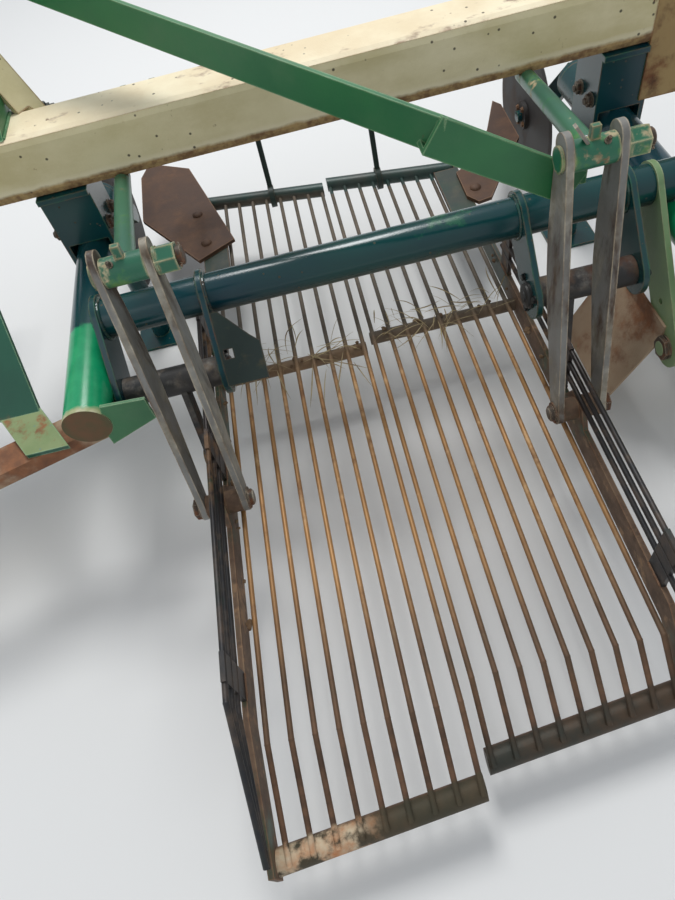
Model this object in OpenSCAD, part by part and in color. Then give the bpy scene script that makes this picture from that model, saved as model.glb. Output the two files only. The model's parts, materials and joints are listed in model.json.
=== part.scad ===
// Single row potato digger with a swinging rod sieve, for a three point linkage.
// X points to the machine's right, Y to its front and Z up. Lengths are in millimetres.
// The unit's own frame has X = 0 between the two sieve halves and Y = 0 near the rear hangers;
// place() moves it so that the origin is on the floor under the middle of the whole machine.

/* [Beam] */
// Side of the square box beam
beam_s = 126; // [90:1:160]
// Wall of the beam
beam_wall = 8; // [5:1:12]
// Rear face of the beam ahead of the unit's origin
beam_y = 560; // [540:5:640]
// Underside of the beam over the floor
beam_z = 574; // [560:2:640]
// Left end of the beam from the unit's middle
beam_left = 1060; // [980:10:1200]
// Right end of the beam from the unit's middle
beam_right = 679; // [650:1:760]
// Thickness of the plates that close the beam's ends
cap_t = 12; // [6:1:20]
// Drop of the right end bracket below the beam
end_drop = 115; // [60:5:150]
// Width of the right end bracket past the beam
end_w = 96; // [60:2:140]

/* [Sieve] */
// Height of the rods over the floor, halfway through a swing
deck_z = 176; // [150:2:220]
// Side bar's middle from the unit's middle
side_x = 360; // [340:2:400]
// Thickness of a side bar
side_t = 10; // [6:1:14]
// Height of a side bar
side_h = 60; // [50:1:70]
// Side bar's top over the rods' middle
side_up = 22; // [16:1:30]
// Rods in each half
rods_n = 9; // [6:1:10]
// Diameter of a rod
rod_d = 10; // [8:0.5:13]
// Clear gap between the two halves
half_gap = 14; // [10:1:20]
// Middle of the front tubes ahead of the hanger pin
sieve_front = 990; // [970:2:1070]
// Middle of the rear tubes behind the hanger pin
sieve_rear = 566; // [540:2:630]
// Slant of the front tubes: how far they run back for each millimetre to the right
front_skew = 0.2; // [0:0.02:0.22]
// Slant of the rear tubes: how far they run forward for each millimetre to the right
rear_skew = 0.12; // [0:0.02:0.14]
// Start of the side bars' slope behind the hanger pin
tail_start = 413; // [350:1:450]
// Start of the rods' slope behind the hanger pin
rod_bend = 452; // [420:1:460]
// Drop of the tail at the rear tube
tail_drop = 62; // [30:2:80]
// Diameter of the front tube
front_tube_d = 38; // [30:1:48]
// Diameter of the rear tube
rear_tube_d = 42; // [32:1:50]
// Cross bar under the rods ahead of the hanger pin
mid_bar_y = 367; // [300:1:440]
// Diameter of the cross bar under the rods
mid_bar_d = 30; // [20:1:36]

/* [Fence] */
// Diameter of a fence rod
fence_d = 10; // [8:1:14]
// Lowest fence rod over the sieve
fence_low = 66; // [64:1:70]
// Distance from fence rod to fence rod
fence_step = 33; // [26:1:34]
// Front end of the fence ahead of the hanger pin
fence_front = 482; // [432:2:590]
// Width of a fence post
post_w = 48; // [30:2:60]

/* [Hangers] */
// Middle of a hanger pair from the unit's middle
hang_x = 360; // [340:2:400]
// Hanger's top pivot ahead of the unit's origin
hang_y = 100; // [80:2:120]
// Length of a hanger between its pins
hang_len = 496; // [480:2:530]
// Lean of a hanger halfway through a swing, in degrees
hang_lean = 14.75; // [12:0.25:17]
// Width of a hanger arm at its ends
arm_w = 48; // [40:1:54]
// Swell of a hanger arm's front edge
arm_belly = 28; // [0:1:32]
// Thickness of a hanger arm
arm_t = 12; // [8:1:14]
// Clear gap between the two arms of a hanger
arm_gap = 70; // [68:1:80]
// Top pin's diameter
top_pin_d = 30; // [24:1:36]
// Bottom pin's diameter
low_pin_d = 25; // [20:1:28]
// Height of the bottom pin over the rods' middle
pin_up = 36; // [34:1:38]
// Outer diameter of the sleeve between the arms
sleeve_d = 46; // [42:1:54]
// Diameter of the strut that carries a sleeve
strut_d = 34; // [28:1:42]
// Stroke of a sieve half to each side of its middle place
stroke = 20; // [15:1:24]
// Share of the stroke at which the machine was left standing
parked = 0.9; // [0.3:0.1:0.9]

/* [Front links and rockers] */
// Length of a front link between its eyes
link_len = 326; // [320:2:360]
// Diameter of a front link
link_d = 15; // [12:1:20]
// Length of a rocker arm between its eyes
rocker_len = 190; // [188:1:206]
// Rocker's pin on the side bar ahead of the hanger pin
rocker_ahead = 150; // [132:2:172]
// Diameter of the rocker shaft
rocker_d = 58; // [44:1:64]

/* [Frame] */
// Diameter of a side tube
tube_d = 89; // [76:1:102]
// Middle of the side tubes over the floor
tube_z = 405; // [395:1:420]
// Left side tube from the unit's middle
tube_left = 558; // [550:2:580]
// Right side tube from the unit's middle
tube_right = 640; // [630:2:660]
// Rear end of the side tubes ahead of the unit's origin
tube_back = 66; // [50:2:80]
// Front end of the side tubes ahead of the unit's origin
tube_front = 790; // [760:5:820]
// Diameter of the cross tube
cross_d = 76; // [64:1:89]
// Cross tube ahead of the unit's origin
cross_y = 275; // [260:1:300]
// Middle of the cross tube over the floor
cross_z = 467; // [455:1:480]
// Wall of the round tubes
tube_wall = 8; // [5:1:12]
// Thickness of a lug plate
lug_t = 12; // [8:1:16]

/* [Headstock] */
// Middle of the headstock left of the unit's middle
head_x = 650; // [600:5:700]
// Distance between the lower link pins' inner shoulders
link_span = 683; // [660:1:760]
// Lower link pin ahead of the unit's origin
lower_y = 980; // [940:5:1020]
// Lower link pin over the floor
lower_z = 430; // [400:5:480]
// Lower link pin's diameter
lower_d = 22; // [22:0.1:28]
// Top link hole ahead of the unit's origin
top_y = 905; // [880:5:940]
// Top link hole over the lower link pins
mast_h = 460; // [440:5:520]
// Top link hole's diameter
top_d = 19.3; // [19:0.1:25.7]
// Gap between the two mast plates
mast_gap = 52; // [46:1:60]
// Thickness of the mast plates
mast_t = 14; // [10:1:18]
// Side of the green stay's angle
stay_w = 60; // [50:1:70]
// Thickness of the green stay's angle
stay_t = 8; // [6:1:10]

/* [Drive] */
// Width of the gearbox
box_w = 170; // [140:2:200]
// Diameter of the driven stub shaft
stub_d = 34.9; // [30:0.1:36]
// Length of the driven stub shaft
stub_l = 90; // [75:1:110]

/* [Wheels and discs] */
// Diameter of a depth wheel
wheel_d = 452; // [420:2:480]
// Width of a tyre
tyre_w = 130; // [100:2:150]
// Diameter of the rim
rim_d = 250; // [200:2:280]
// Left wheel's middle from the unit's middle
wheel_left = 1040; // [1030:5:1090]
// Right wheel's middle from the unit's middle
wheel_right = 768; // [765:1:800]
// Wheel axles ahead of the unit's origin
axle_y = 72; // [60:2:90]
// Diameter of the wheel axles
axle_d = 35; // [30:1:40]
// Diameter of a disc coulter
disc_d = 410; // [360:5:420]
// Disc coulters ahead of the unit's origin
disc_y = 1010; // [1000:5:1040]
// Distance of a disc coulter's rim from the floor
disc_low = 10; // [5:1:30]

/* [Stands and guards] */
// Diameter of a parking stand's leg
stand_d = 48; // [40:1:60]
// Side of a parking stand's foot
foot_s = 130; // [100:5:160]
// Thickness of the soil guards
guard_t = 5; // [4:1:8]

/* [Hidden] */
$fn = 48;

// Fits and clearances
run = 0.05;     // radial clearance of a pin in its bore
side_play = 0.5;// play beside an eye or a hub
loose = 4;      // radial clearance of a loop's open eye
sink = 2;       // depth to which welded rods sink into their tube
pin_head = 5;   // thickness of a pin's head or washer
nut_h = 34;     // height of the nut on a top pin
tab_h = 20;     // height of the tab on a sleeve

// The swing: a half's pin moves along an arc, and the two halves swing against each other
swing = asin(stroke / hang_len);
parked_turn = parked * swing;
lean = [hang_lean + parked_turn, hang_lean - parked_turn];
pivot_z = deck_z + pin_up + hang_len * cos(hang_lean);
function pin_y(a) = hang_y - hang_len * sin(a);
function pin_z(a) = pivot_z - hang_len * cos(a);
hang_low = [for (a = lean) [pin_y(a), pin_z(a)]];
half_mid = [pin_y(hang_lean), deck_z];

// Front links and rockers stay parallel to the hangers: their turn follows the same stroke
link_lean = [for (s = [1, -1]) hang_lean + s * parked_turn * hang_len / link_len];
rocker_lean = [for (s = [1, -1]) hang_lean + s * parked_turn * hang_len / rocker_len];
rocker_top = [half_mid[0] + rocker_ahead + rocker_len * sin(hang_lean),
    half_mid[1] + rocker_len * cos(hang_lean)];

// Places that follow from the driving sizes
beam_mid_y = beam_y + beam_s / 2;
beam_top = beam_z + beam_s;
beam_front = beam_y + beam_s;
wheel_r = wheel_d / 2;
disc_z = disc_d / 2 + disc_low;
lower_x = link_span / 2;
lower_l = 90;         // length of a lower link pin
lower_w = 60;         // spread of a lower link bracket
top_z = lower_z + mast_h;
beam_corner = 16;     // radius of the beam's corners
eye_r = 20;           // outer radius of the small eyes
rocker_x = side_x + side_t / 2 + 25;
rocker_t = 12;
link_pin_d = 16;      // upper pin of a front link
link_t = link_d + 1;
tube_x = [-tube_left, tube_right];
lug_x = [[-300, -tube_left + tube_d / 2 + lug_t / 2], [319, 523]];
lug_r = 48;
cross_end = lug_x[0][1] - lug_t / 2;
disc_x = [-tube_left - 30, tube_right - 40];
wing_z = 10;          // thickness of a wing
wing_tip = 1300;      // tip of the left wing ahead of the hanger pin
wing_tip_right = 1150;
tail_spread = 0.14;   // share of the fence rods' spread that is left at the tail
deflect_t = 8;        // thickness of the deflector beside the left inner lug
deflect_l = 142;      // its length down the slope
deflect_w = 80;       // its width
tail_over = 24;       // length of a side bar past the rear tube
rod_edge = side_x - side_t / 2 - 21;
rod_pitch = (rod_edge - half_gap / 2 - 7) / (rods_n - 1);
link_x = rod_edge - (floor(rods_n / 2) + 0.5) * rod_pitch;
function front_at(x) = sieve_front - front_skew * x;
function rear_at(x) = rear_skew * x - sieve_rear;
function link_top(i) = [half_mid[0] + front_at((2 * i - 1) * link_x) + link_len * sin(hang_lean),
    half_mid[1] + link_len * cos(hang_lean)];
stay_y = hang_y + arm_w / 2 + 3 + stay_t;
stay_kink = [149, 92];// bend of the stay: right of the unit's middle, and over the top pins
stay_rise = 0.65;     // rise of the stay from the strut to its bend
arm_over = 16;        // a hanger arm's end past its top pin
drive_d = 60;         // tube from the gearbox to the crank case
drive_p = [beam_y + beam_s + 62, beam_z + 24];
stub_z = beam_z + 4;
box_y = beam_front;
box_len = 150;
box_half = 54;        // half of the gearbox's height
journal_d = 40;       // the input shaft inside the gearbox
journal_l = 79;
case_x = -head_x + lower_x + 4.5;
case_l = 90;          // length of the crank case along the beam
case_d = 124;
box_x = [-wheel_left + tyre_w / 2 + 18, -tube_left + 30];
box_side = 70;        // depth of the rear box
box_high = 34;        // its height
box_skew = 0.3;       // how far its left end stands back, as a share of its length
arm_x = tube_right - tube_d / 2 - 20;
box_top = tube_z - tube_d / 2;

function strut_foot(i) = [(2 * i - 1) * (hang_x + 74), beam_mid_y - 20, beam_z - strut_d / 2];

// Extremes of the machine in the unit's frame
x_low = -max(wheel_left + tyre_w / 2, head_x + lower_x + lower_l, beam_left + cap_t);
x_high = max(wheel_right + tyre_w / 2, beam_right + cap_t + end_w);
y_low = hang_low[0][0] + rear_at(-side_x) - tail_over;
y_high = max(hang_low[0][0] + wing_tip, hang_low[1][0] + wing_tip_right, disc_y + disc_d / 2);

module place() {
    translate([-(x_low + x_high) / 2, -(y_low + y_high) / 2, 0]) children();
}

// A box between two corners
module block(a, b) {
    translate([min(a[0], b[0]), min(a[1], b[1]), min(a[2], b[2])])
        cube([abs(b[0] - a[0]), abs(b[1] - a[1]), abs(b[2] - a[2])]);
}

// A round bar from point a to point b
module bar(a, b, d) {
    v = b - a;
    l = norm(v);
    translate(a) rotate([0, acos(v[2] / l), atan2(v[1], v[0])]) cylinder(d = d, h = l);
}

// A round bar along X from x0 to x1 at height and depth p = [y, z]
module axle(x0, x1, p, d) {
    translate([min(x0, x1), p[0], p[1]]) rotate([0, 90, 0]) cylinder(d = d, h = abs(x1 - x0));
}

// A plate standing in the YZ plane: its outline is drawn in y and z
module plate_x(x, t) {
    translate([x - t / 2, 0, 0]) rotate([90, 0, 90]) linear_extrude(t) children();
}

// A flat bar's outline between p and q with round ends that stand 0.5 mm proud of its edges
module strap(p, q, w) {
    v = q - p;
    translate(p) circle(d = w + 1);
    translate(q) circle(d = w + 1);
    translate(p) rotate(atan2(v[1], v[0])) translate([0, -w / 2]) square([norm(v), w]);
}

// Beam and frame
// A square outline of side s with its corners cut in two steps of a round of radius r
function corner(c, r, turn) = [for (a = [0, 45, 90]) c + r * [cos(turn + a), sin(turn + a)]];

module beam_section(s, r) {
    polygon(concat(corner([s - r, s - r], r, 0), corner([r, s - r], r, 90),
        corner([r, r], r, 180), corner([s - r, r], r, 270)));
}

// Runs an outline along the beam, longer by over at each end and moved in by the wall
module beam_run(over, wall) {
    translate([-beam_left - over, beam_y + wall, beam_z + wall]) rotate([90, 0, 90])
        linear_extrude(beam_left + beam_right + 2 * over) children();
}

module main_beam() {
    color("khaki") difference() {
        beam_run(0, 0) beam_section(beam_s, beam_corner);
        beam_run(1, beam_wall) beam_section(beam_s - 2 * beam_wall, beam_corner - beam_wall / 2);
    }
}

module beam_cap_left() {
    color("khaki") block([-beam_left - cap_t, beam_y, beam_z], [-beam_left, beam_front, beam_top]);
}

module beam_bracket_right() {
    x = beam_right + cap_t;
    color("darkkhaki") {
        block([beam_right, beam_y, beam_z - end_drop], [x, beam_front, beam_top + 8]);
        block([x, beam_y, beam_z - end_drop], [x + end_w, beam_y + cap_t, beam_top + 8]);
    }
}

module drop_brackets() {
    gap = tube_d + 0.4;
    color("darkgreen") for (x = tube_x) difference() {
        union() {
            block([x - gap / 2 - 10, beam_y - 6, beam_z - 12], [x + gap / 2 + 10, beam_front, beam_z]);
            for (s = [-1, 1])
                block([x + s * gap / 2, beam_y + 4, tube_z - 20],
                    [x + s * (gap / 2 + 10), beam_front - 4, beam_z - 12]);
            block([x - gap / 2, beam_y + 4, tube_z + tube_d / 2 + 0.2], [x + gap / 2, beam_y + 14, beam_z - 12]);
        }
        block([beam_right, beam_y - 10, beam_z - end_drop], [beam_right + 200, beam_front + 10, beam_top]);
    }
}

module side_tubes() {
    color("seagreen") for (x = tube_x) difference() {
        translate([x, tube_back, tube_z]) rotate([-90, 0, 0])
            cylinder(d = tube_d, h = tube_front - tube_back);
        translate([x, tube_back + 8, tube_z]) rotate([-90, 0, 0])
            cylinder(d = tube_d - 2 * tube_wall, h = tube_front - tube_back - 18);
    }
}

module cross_tube() {
    color("darkgreen") difference() {
        axle(cross_end, tube_x[1], [cross_y, cross_z], cross_d);
        axle(cross_end - 1, tube_x[1] + 1, [cross_y, cross_z], cross_d - 2 * tube_wall);
        translate([tube_x[1], 0, tube_z]) rotate([-90, 0, 0]) cylinder(d = tube_d, h = 2 * cross_y);
    }
}

module lugs() {
    c = [cross_y, cross_z];
    color("darkgreen") for (pair = lug_x, x = pair) plate_x(x, lug_t) difference() {
        strap(c, rocker_top, 2 * lug_r);
        translate(c) circle(d = cross_d);
        translate(rocker_top) circle(d = top_pin_d + 2 * run);
    }
}

module rear_box_left() {
    // A box section whose left end stands back, with its ends left open
    color("sienna") difference() {
        box_run(box_x, 0) square([box_side, box_high]);
        box_run(box_x, 1) translate([6, 6]) square([box_side - 12, box_high - 12]);
    }
}

// Runs an outline along the rear box, longer by over at each end
module box_run(x, over) {
    l = x[1] - x[0];
    multmatrix([[1, 0, 0, x[0]], [box_skew, 1, 0, tube_back + 34 - box_skew * (l - 20)],
        [0, 0, 1, box_top - box_high], [0, 0, 0, 1]])
        translate([-over, 0, 0]) rotate([90, 0, 90]) linear_extrude(l + 2 * over) children();
}

module brace_plate_left() {
    // A slanting foot on the rear box, bent up into a strip that runs to the beam's rear face
    bend = [-tube_left - 120, tube_back + 106];
    run_y = beam_y - bend[1];
    rise = beam_z + 40 - box_top;
    tilt = atan2(rise, run_y);
    l = norm([run_y, rise]) + 20;
    w = 84;       // width of the strip
    out = 86;     // how far the strip moves to the left on its way up
    foot = [66, 108]; // how far the foot runs to the right and back
    t = 10;
    color("yellowgreen") {
        translate([bend[0], bend[1], box_top]) linear_extrude(t)
            polygon([[-w, 6], [0, 6], [foot[0], -foot[1]], [foot[0] - w, -foot[1]], [-w, 0]]);
        difference() {
            translate([bend[0], bend[1], box_top]) rotate([tilt, 0, 0]) linear_extrude(t)
                polygon([[0, 0], [-w, 0], [-w - out, l], [-out, l]]);
            block([-beam_left, beam_y, 0], [0, beam_y + 200, beam_top + 200]);
        }
    }
}

module axle_left() {
    x = box_x[0];
    color("dimgray") {
        block([x - 12, axle_y - 70, wheel_r - 30], [x, axle_y + 30, box_top]);
        axle(-wheel_left - tyre_w / 2 + 20, x - 12, [axle_y, wheel_r], axle_d);
    }
}

module wheel_arm_right() {
    // A trailing plate under the cross tube; its lowest hole takes the wheel's axle
    color("olivedrab") {
        plate_x(arm_x, 12) difference() {
            strap([cross_y, cross_z], [axle_y, wheel_r], 84);
            translate([cross_y, cross_z]) circle(d = cross_d + 0.2);
            for (k = [1, 2]) translate([axle_y + 30 * k, wheel_r + 35 * k]) circle(d = 13);
        }
        axle(arm_x + 6, wheel_right + tyre_w / 2 - 20, [axle_y, wheel_r], axle_d);
        axle(arm_x - 20, arm_x - 6, [axle_y, wheel_r], 30);
    }
}

// Soil guards beside the sieve
module clod_guard_right() {
    x1 = arm_x - 6;
    l = 240;      // length along the machine
    in = 90;      // how far its foot stands in from the wheel arm
    foot = 62;    // height of its lower edge
    color("sienna") translate([0, axle_y + 18, 0]) rotate([90, 0, 180]) mirror([1, 0, 0])
        linear_extrude(l)
        polygon([[x1, wheel_r + 40], [x1, wheel_r + 2], [x1 - in, foot], [x1 - in - guard_t, foot],
            [x1 - guard_t, wheel_r + 4], [x1 - guard_t, wheel_r + 40]]);
}

module clod_guard_left() {
    // A plate beside the left tube's rear end that drops towards the rear box
    x0 = -tube_left + tube_d / 2 - 3;
    color("green") difference() {
        translate([0, tube_back + 8, 0]) rotate([90, 0, 0]) linear_extrude(6)
            polygon([[x0, tube_z + 40], [x0 + 82, tube_z + 34], [x0 + 82, tube_z - 22],
                [x0 - 20, box_top - 22], [x0 - 20, box_top + 2]]);
        translate([-tube_left, 0, tube_z]) rotate([-90, 0, 0]) cylinder(d = tube_d, h = 2 * tube_back);
    }
}

module deflector_left() {
    // A sloping plate with a square hole beside the left inner lug
    x = lug_x[0][0] + lug_t / 2;
    color("darkgreen") translate([x, cross_y - 56, cross_z - 2]) rotate([44, 0, 0])
        linear_extrude(deflect_t) difference() {
            polygon([[0, 0], [14, 0], [deflect_w - 18, -deflect_l * 0.38], [deflect_w, -deflect_l * 0.5],
                [deflect_w, -deflect_l], [0, -deflect_l]]);
            translate([7, -deflect_l * 0.64]) square(18);
        }
}

// Pivot supports and hangers
module pivot_supports() {
    color("darkseagreen") for (i = [0, 1]) pivot_support(i);
}

module pivot_support(i) {
    x = (2 * i - 1) * hang_x;
    p = [hang_y, pivot_z];
    half = (arm_gap - 2 * side_play) / 2;
    reach = half + side_play + arm_t + side_play;
    axle(x - half, x + half, p, sleeve_d);
    axle(x - reach - pin_head, x + reach + pin_head, p, top_pin_d);
    axle(x - reach - pin_head, x - reach, p, top_pin_d + 10);
    axle(x + reach, x + reach + pin_head, p, top_pin_d + 14);
    // The nut on the pin's right end, and the tab that stands on the sleeve
    translate([x + reach, hang_y, pivot_z]) rotate([0, 90, 0]) cylinder(d = 46, h = nut_h, $fn = 6);
    block([x - 7, hang_y - 5, pivot_z + sleeve_d / 2 - 4], [x + 7, hang_y + 5, pivot_z + sleeve_d / 2 + tab_h]);
    difference() {
        bar([x, hang_y, pivot_z], strut_foot(i), strut_d);
        axle(x - half, x + half, p, top_pin_d);
        block([-beam_left, beam_y, beam_z], [beam_right, beam_front, beam_top]);
    }
}

// Arm outline from the top pin p to the bottom pin q: rows of [share of the length, swell]
arm_rows = [[0, 0], [0.12, 0.45], [0.28, 0.9], [0.42, 1], [0.58, 0.82], [0.8, 0.32], [1, -0.1]];

module arm_outline(p, q) {
    v = q - p;
    l = norm(v);
    front = [for (r = arm_rows) [r[0] * l, arm_w / 2 - 1 + r[1] * arm_belly]];
    translate(p) rotate(atan2(v[1], v[0])) {
        polygon(concat([[-arm_over, 3 - arm_w / 2]], [[-arm_over, arm_w / 2 - 3]], front,
            [[l, 3 - arm_w / 2], [0, 1 - arm_w / 2]]));
        translate([-arm_over, 0]) circle(d = arm_w - 4);
        translate([l, 0]) circle(d = arm_w);
    }
}

module hanger(i) {
    s = 2 * i - 1;
    x = s * hang_x;
    in = arm_gap / 2;
    top = [hang_y, pivot_z];
    low = hang_low[i];
    color("gray") {
        difference() {
            for (k = [-1, 1]) plate_x(x + k * (in + arm_t / 2), arm_t) arm_outline(top, low);
            axle(x - 200, x + 200, top, top_pin_d + 2 * run);
        }
        axle(x - in - arm_t - 12, x + in + arm_t + 12, low, low_pin_d);
    }
}

// Sieve halves: drawn in the rods' plane under the hanger's lower pin, with the front along +Y
module at_half(i) {
    translate([0, hang_low[i][0], hang_low[i][1] - pin_up]) children();
}

// Outline of a side bar at x: it runs level, then slopes down over the tail
module side_outline(x, top, low) {
    front = front_at(x) + 30;
    rear = rear_at(x);
    drop = tail_drop * (rear - tail_over + tail_start) / (rear + tail_start);
    polygon([[front, top], [-tail_start, top], [rear - tail_over, top - drop],
        [rear - tail_over, low - drop], [-tail_start, low], [front, low]]);
}

// A cross tube that runs from p to q, cut off square to X at its ends
module cross_run(p, q, d) {
    over = (q - p) / 10;
    difference() {
        bar(p - over, q + over, d);
        for (k = [-1, 1]) translate([k < 0 ? min(p[0], q[0]) - 100 : max(p[0], q[0]), p[1] - 200, p[2] - d])
            cube([100, 400, 2 * d]);
    }
}

module sieve_side(i) {
    s = 2 * i - 1;
    x = s * side_x;
    boss = 46;
    boss_l = arm_gap / 2 - side_play;
    color("olivedrab") at_half(i) difference() {
        union() {
            plate_x(x, side_t) side_outline(x, side_up, side_up - side_h);
            plate_x(x, side_t) polygon([[-52, side_up - 6], [52, side_up - 6], [26, pin_up + 24], [-26, pin_up + 24]]);
            axle(x - boss_l, x + boss_l, [0, pin_up], boss);
            axle(x, s * (rocker_x + rocker_t / 2 + 2), [rocker_ahead, 0], (eye_r - 6 - loose) * 2);
            axle(s * (rocker_x + rocker_t / 2 + 2), s * (rocker_x + rocker_t / 2 + 2 + pin_head),
                [rocker_ahead, 0], 36);
            block([x, 640, side_up - 12], [x - s * 62, front_at(side_x) - 30, side_up]);
        }
        axle(x - 200, x + 200, [0, pin_up], low_pin_d + 2 * run);
    }
}

module sieve_rods(i) {
    s = 2 * i - 1;
    inner = s * half_gap / 2;
    outer = s * (side_x - side_t / 2);
    tube_z = -tail_drop - rear_tube_d / 2 - rod_d / 2 + sink;
    color("peru") at_half(i) {
        cross_run([inner, front_at(inner), 0], [outer, front_at(outer), 0], front_tube_d);
        cross_run([inner, rear_at(inner), tube_z], [outer, rear_at(outer), tube_z], rear_tube_d);
        axle(inner, outer, [mid_bar_y, -mid_bar_d / 2 - rod_d / 2 + sink], mid_bar_d);
        for (k = [0 : rods_n - 1]) {
            x = s * (rod_edge - k * rod_pitch);
            bar([x, -rod_bend, 0], [x, front_at(x) - sink, 0], rod_d);
            translate([x, -rod_bend, 0]) sphere(d = rod_d + 0.6);
            bar([x, rear_at(x) - 14, -tail_drop - 5], [x, -rod_bend, 0], rod_d);
        }
    }
}

module fence(i) {
    s = 2 * i - 1;
    x = s * side_x;
    heights = [for (k = [0 : 2]) fence_low + k * fence_step];
    end = [x, rear_at(x) - 10, side_up - tail_drop + fence_d / 2 + 4];
    color("darkslategray") at_half(i) {
        for (h = heights) {
            bar([x, -tail_start, h], [x, fence_front, h], fence_d);
            translate([x, -tail_start, h]) sphere(d = fence_d + 0.6);
            bar(end + [0, 0, (h - fence_low) * tail_spread], [x, -tail_start, h], fence_d);
        }
        for (y = [-tail_start + 30, 62, fence_front - 60])
            block([x - 4, y, side_up], [x + 4, y + post_w, heights[2] + 8]);
    }
}

// Wing plates bolted on the side bars, as rows of [distance from the middle, y]
wing_outline = [
    [[275, 826], [376, 770], [530, 1008], [536, 1230], [510, wing_tip], [385, 1218]],
    [[350, 740], [372, 706], [408, 712], [476, 822], [556, 940], [562, 1120], [545, wing_tip_right],
        [486, 1010], [398, 880], [352, 850]]];

module wing(i) {
    s = 2 * i - 1;
    color("sienna") at_half(i) translate([0, 0, side_up]) mirror([1 - i, 0, 0])
        linear_extrude(wing_z) polygon(wing_outline[i]);
}

// Front links and rockers
module front_link(i) {
    s = 2 * i - 1;
    a = link_lean[i];
    top = link_top(i);
    low = top - link_len * [sin(a), cos(a)];
    color("darkgreen") difference() {
        union() {
            plate_x(s * link_x, link_t) {
                translate(top) circle(r = eye_r);
                translate(low) circle(r = eye_r + 10);
            }
            bar([s * link_x, top[0], top[1]], [s * link_x, low[0], low[1]], link_d);
        }
        axle(-side_x, side_x, top, link_pin_d + 2 * run);
        axle(-side_x, side_x, low, front_tube_d + 2 * loose);
    }
}

module link_bracket() {
    // Two arms from the beam's front face carry the front links' upper pins
    color("darkgreen") for (i = [0, 1]) {
        x = (2 * i - 1) * link_x;
        top = link_top(i);
        for (k = [-1, 1]) plate_x(x + k * (link_t / 2 + side_play + 5), 10)
            polygon([[beam_front, beam_z + 6], [beam_front, beam_z + 86], [top[0] + 22, top[1] + 20],
                [top[0] + 22, top[1] - 22], [top[0] - 14, top[1] - 22]]);
        axle(x - link_t / 2 - 14, x + link_t / 2 + 14, top, link_pin_d);
    }
}

module rocker(i) {
    s = 2 * i - 1;
    a = rocker_lean[i];
    low = rocker_top - rocker_len * [sin(a), cos(a)];
    ends = [for (x = lug_x[i]) x];
    in0 = min(ends[0], ends[1]) + lug_t / 2 + side_play;
    in1 = max(ends[0], ends[1]) - lug_t / 2 - side_play;
    color("darkslategray") difference() {
        union() {
            axle(in0, in1, rocker_top, rocker_d);
            axle(in0 - lug_t - 6, in1 + lug_t + 6, rocker_top, top_pin_d);
            plate_x(s * rocker_x, rocker_t) strap(rocker_top, low, 2 * eye_r + 4);
        }
        axle(s * rocker_x - 50, s * rocker_x + 50, low, (eye_r - 6) * 2);
    }
}

// Headstock
module mast_plates() {
    // Two plates lean from the beam's top to the top link hole
    color("green") for (s = [-1, 1]) plate_x(-head_x + s * (mast_gap + mast_t) / 2, mast_t)
        difference() {
            polygon([[beam_y + 10, beam_top], [beam_front, beam_top], [top_y + 34, top_z - 30],
                [top_y + 34, top_z + 68], [top_y - 34, top_z + 72]]);
            translate([top_y, top_z]) circle(d = top_d);
        }
}

module lower_links() {
    color("green") for (s = [-1, 1]) difference() {
        x = -head_x + s * lower_x;
        union() {
        for (k = [0, 1]) plate_x(x - s * (6 + k * lower_w), 12)
            polygon([[beam_front, beam_z + 4], [beam_front, beam_top - 6], [lower_y + 30, lower_z + 34],
                [lower_y + 30, lower_z - 30], [lower_y - 34, lower_z - 30]]);
        axle(x - s * (lower_w + 24), x + s * lower_l, [lower_y, lower_z], lower_d);
        }
        axle(-head_x, -link_x, drive_p, drive_d + 0.6);
    }
}

// A member's section is drawn with x downwards and y to the left of its run from a to b
module member(a, b) {
    v = b - a;
    l = norm(v);
    translate(a) rotate([0, acos(v[2] / l), atan2(v[1], v[0])]) linear_extrude(l) children();
}

module angle_section() {
    square([stay_w, stay_t]);
    translate([stay_w - stay_t, stay_t - stay_w]) square([stay_t, stay_w]);
}

module mast_brace() {
    // A flat bar from the beam's top to the side of the mast
    foot = [-553, beam_front - 14, beam_top - 50];
    head = [-head_x + mast_gap / 2 + mast_t, top_y - 185, top_z - 115];
    color("khaki") difference() {
        member(foot, head + (head - foot) * 0.2) translate([-7, -30]) square([14, 60]);
        block([-beam_left, beam_y, 0], [0, beam_front, beam_top]);
        block([head[0], 0, 0], [head[0] - 300, 2 * top_y, 2 * top_z]);
    }
}

module mast_stay() {
    // A green angle from under the right strut, kinked over the sieve, up to the mast
    foot_x = hang_x + 12;
    inset = 1; // the foot's block ends this far inside the angle's flange
    kink = [stay_kink[0], stay_y, pivot_z + stay_kink[1]];
    foot = [foot_x, stay_y, kink[2] - stay_rise * (foot_x - kink[0])];
    head = [-head_x + mast_gap / 2 + mast_t, top_y - 20, top_z + 45];
    in = kink - foot;
    out = head - kink;
    color("green") difference() {
        union() {
            member(foot, kink + in * 6 / norm(in)) angle_section();
            member(kink - out * 6 / norm(out), head + out * 0.05) angle_section();
            block([foot_x - 10, stay_y - stay_t + inset, foot[2] - 20], [foot_x, stay_y + 12, pivot_z]);
        }
        bar([hang_x, hang_y, pivot_z], strut_foot(1), strut_d + 0.4);
        block([head[0], 0, 0], [head[0] - 300, 2 * top_y, 2 * top_z]);
    }
}

// Drive
module gearbox() {
    color("gray") difference() {
        block([-head_x - box_w / 2, box_y, stub_z - box_half],
            [-head_x + box_w / 2, box_y + box_len, stub_z + box_half]);
        translate([-head_x, box_y + box_len - journal_l - 1, stub_z]) rotate([-90, 0, 0])
            cylinder(d = journal_d + 2 * run, h = journal_l + 2);
    }
}

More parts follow.
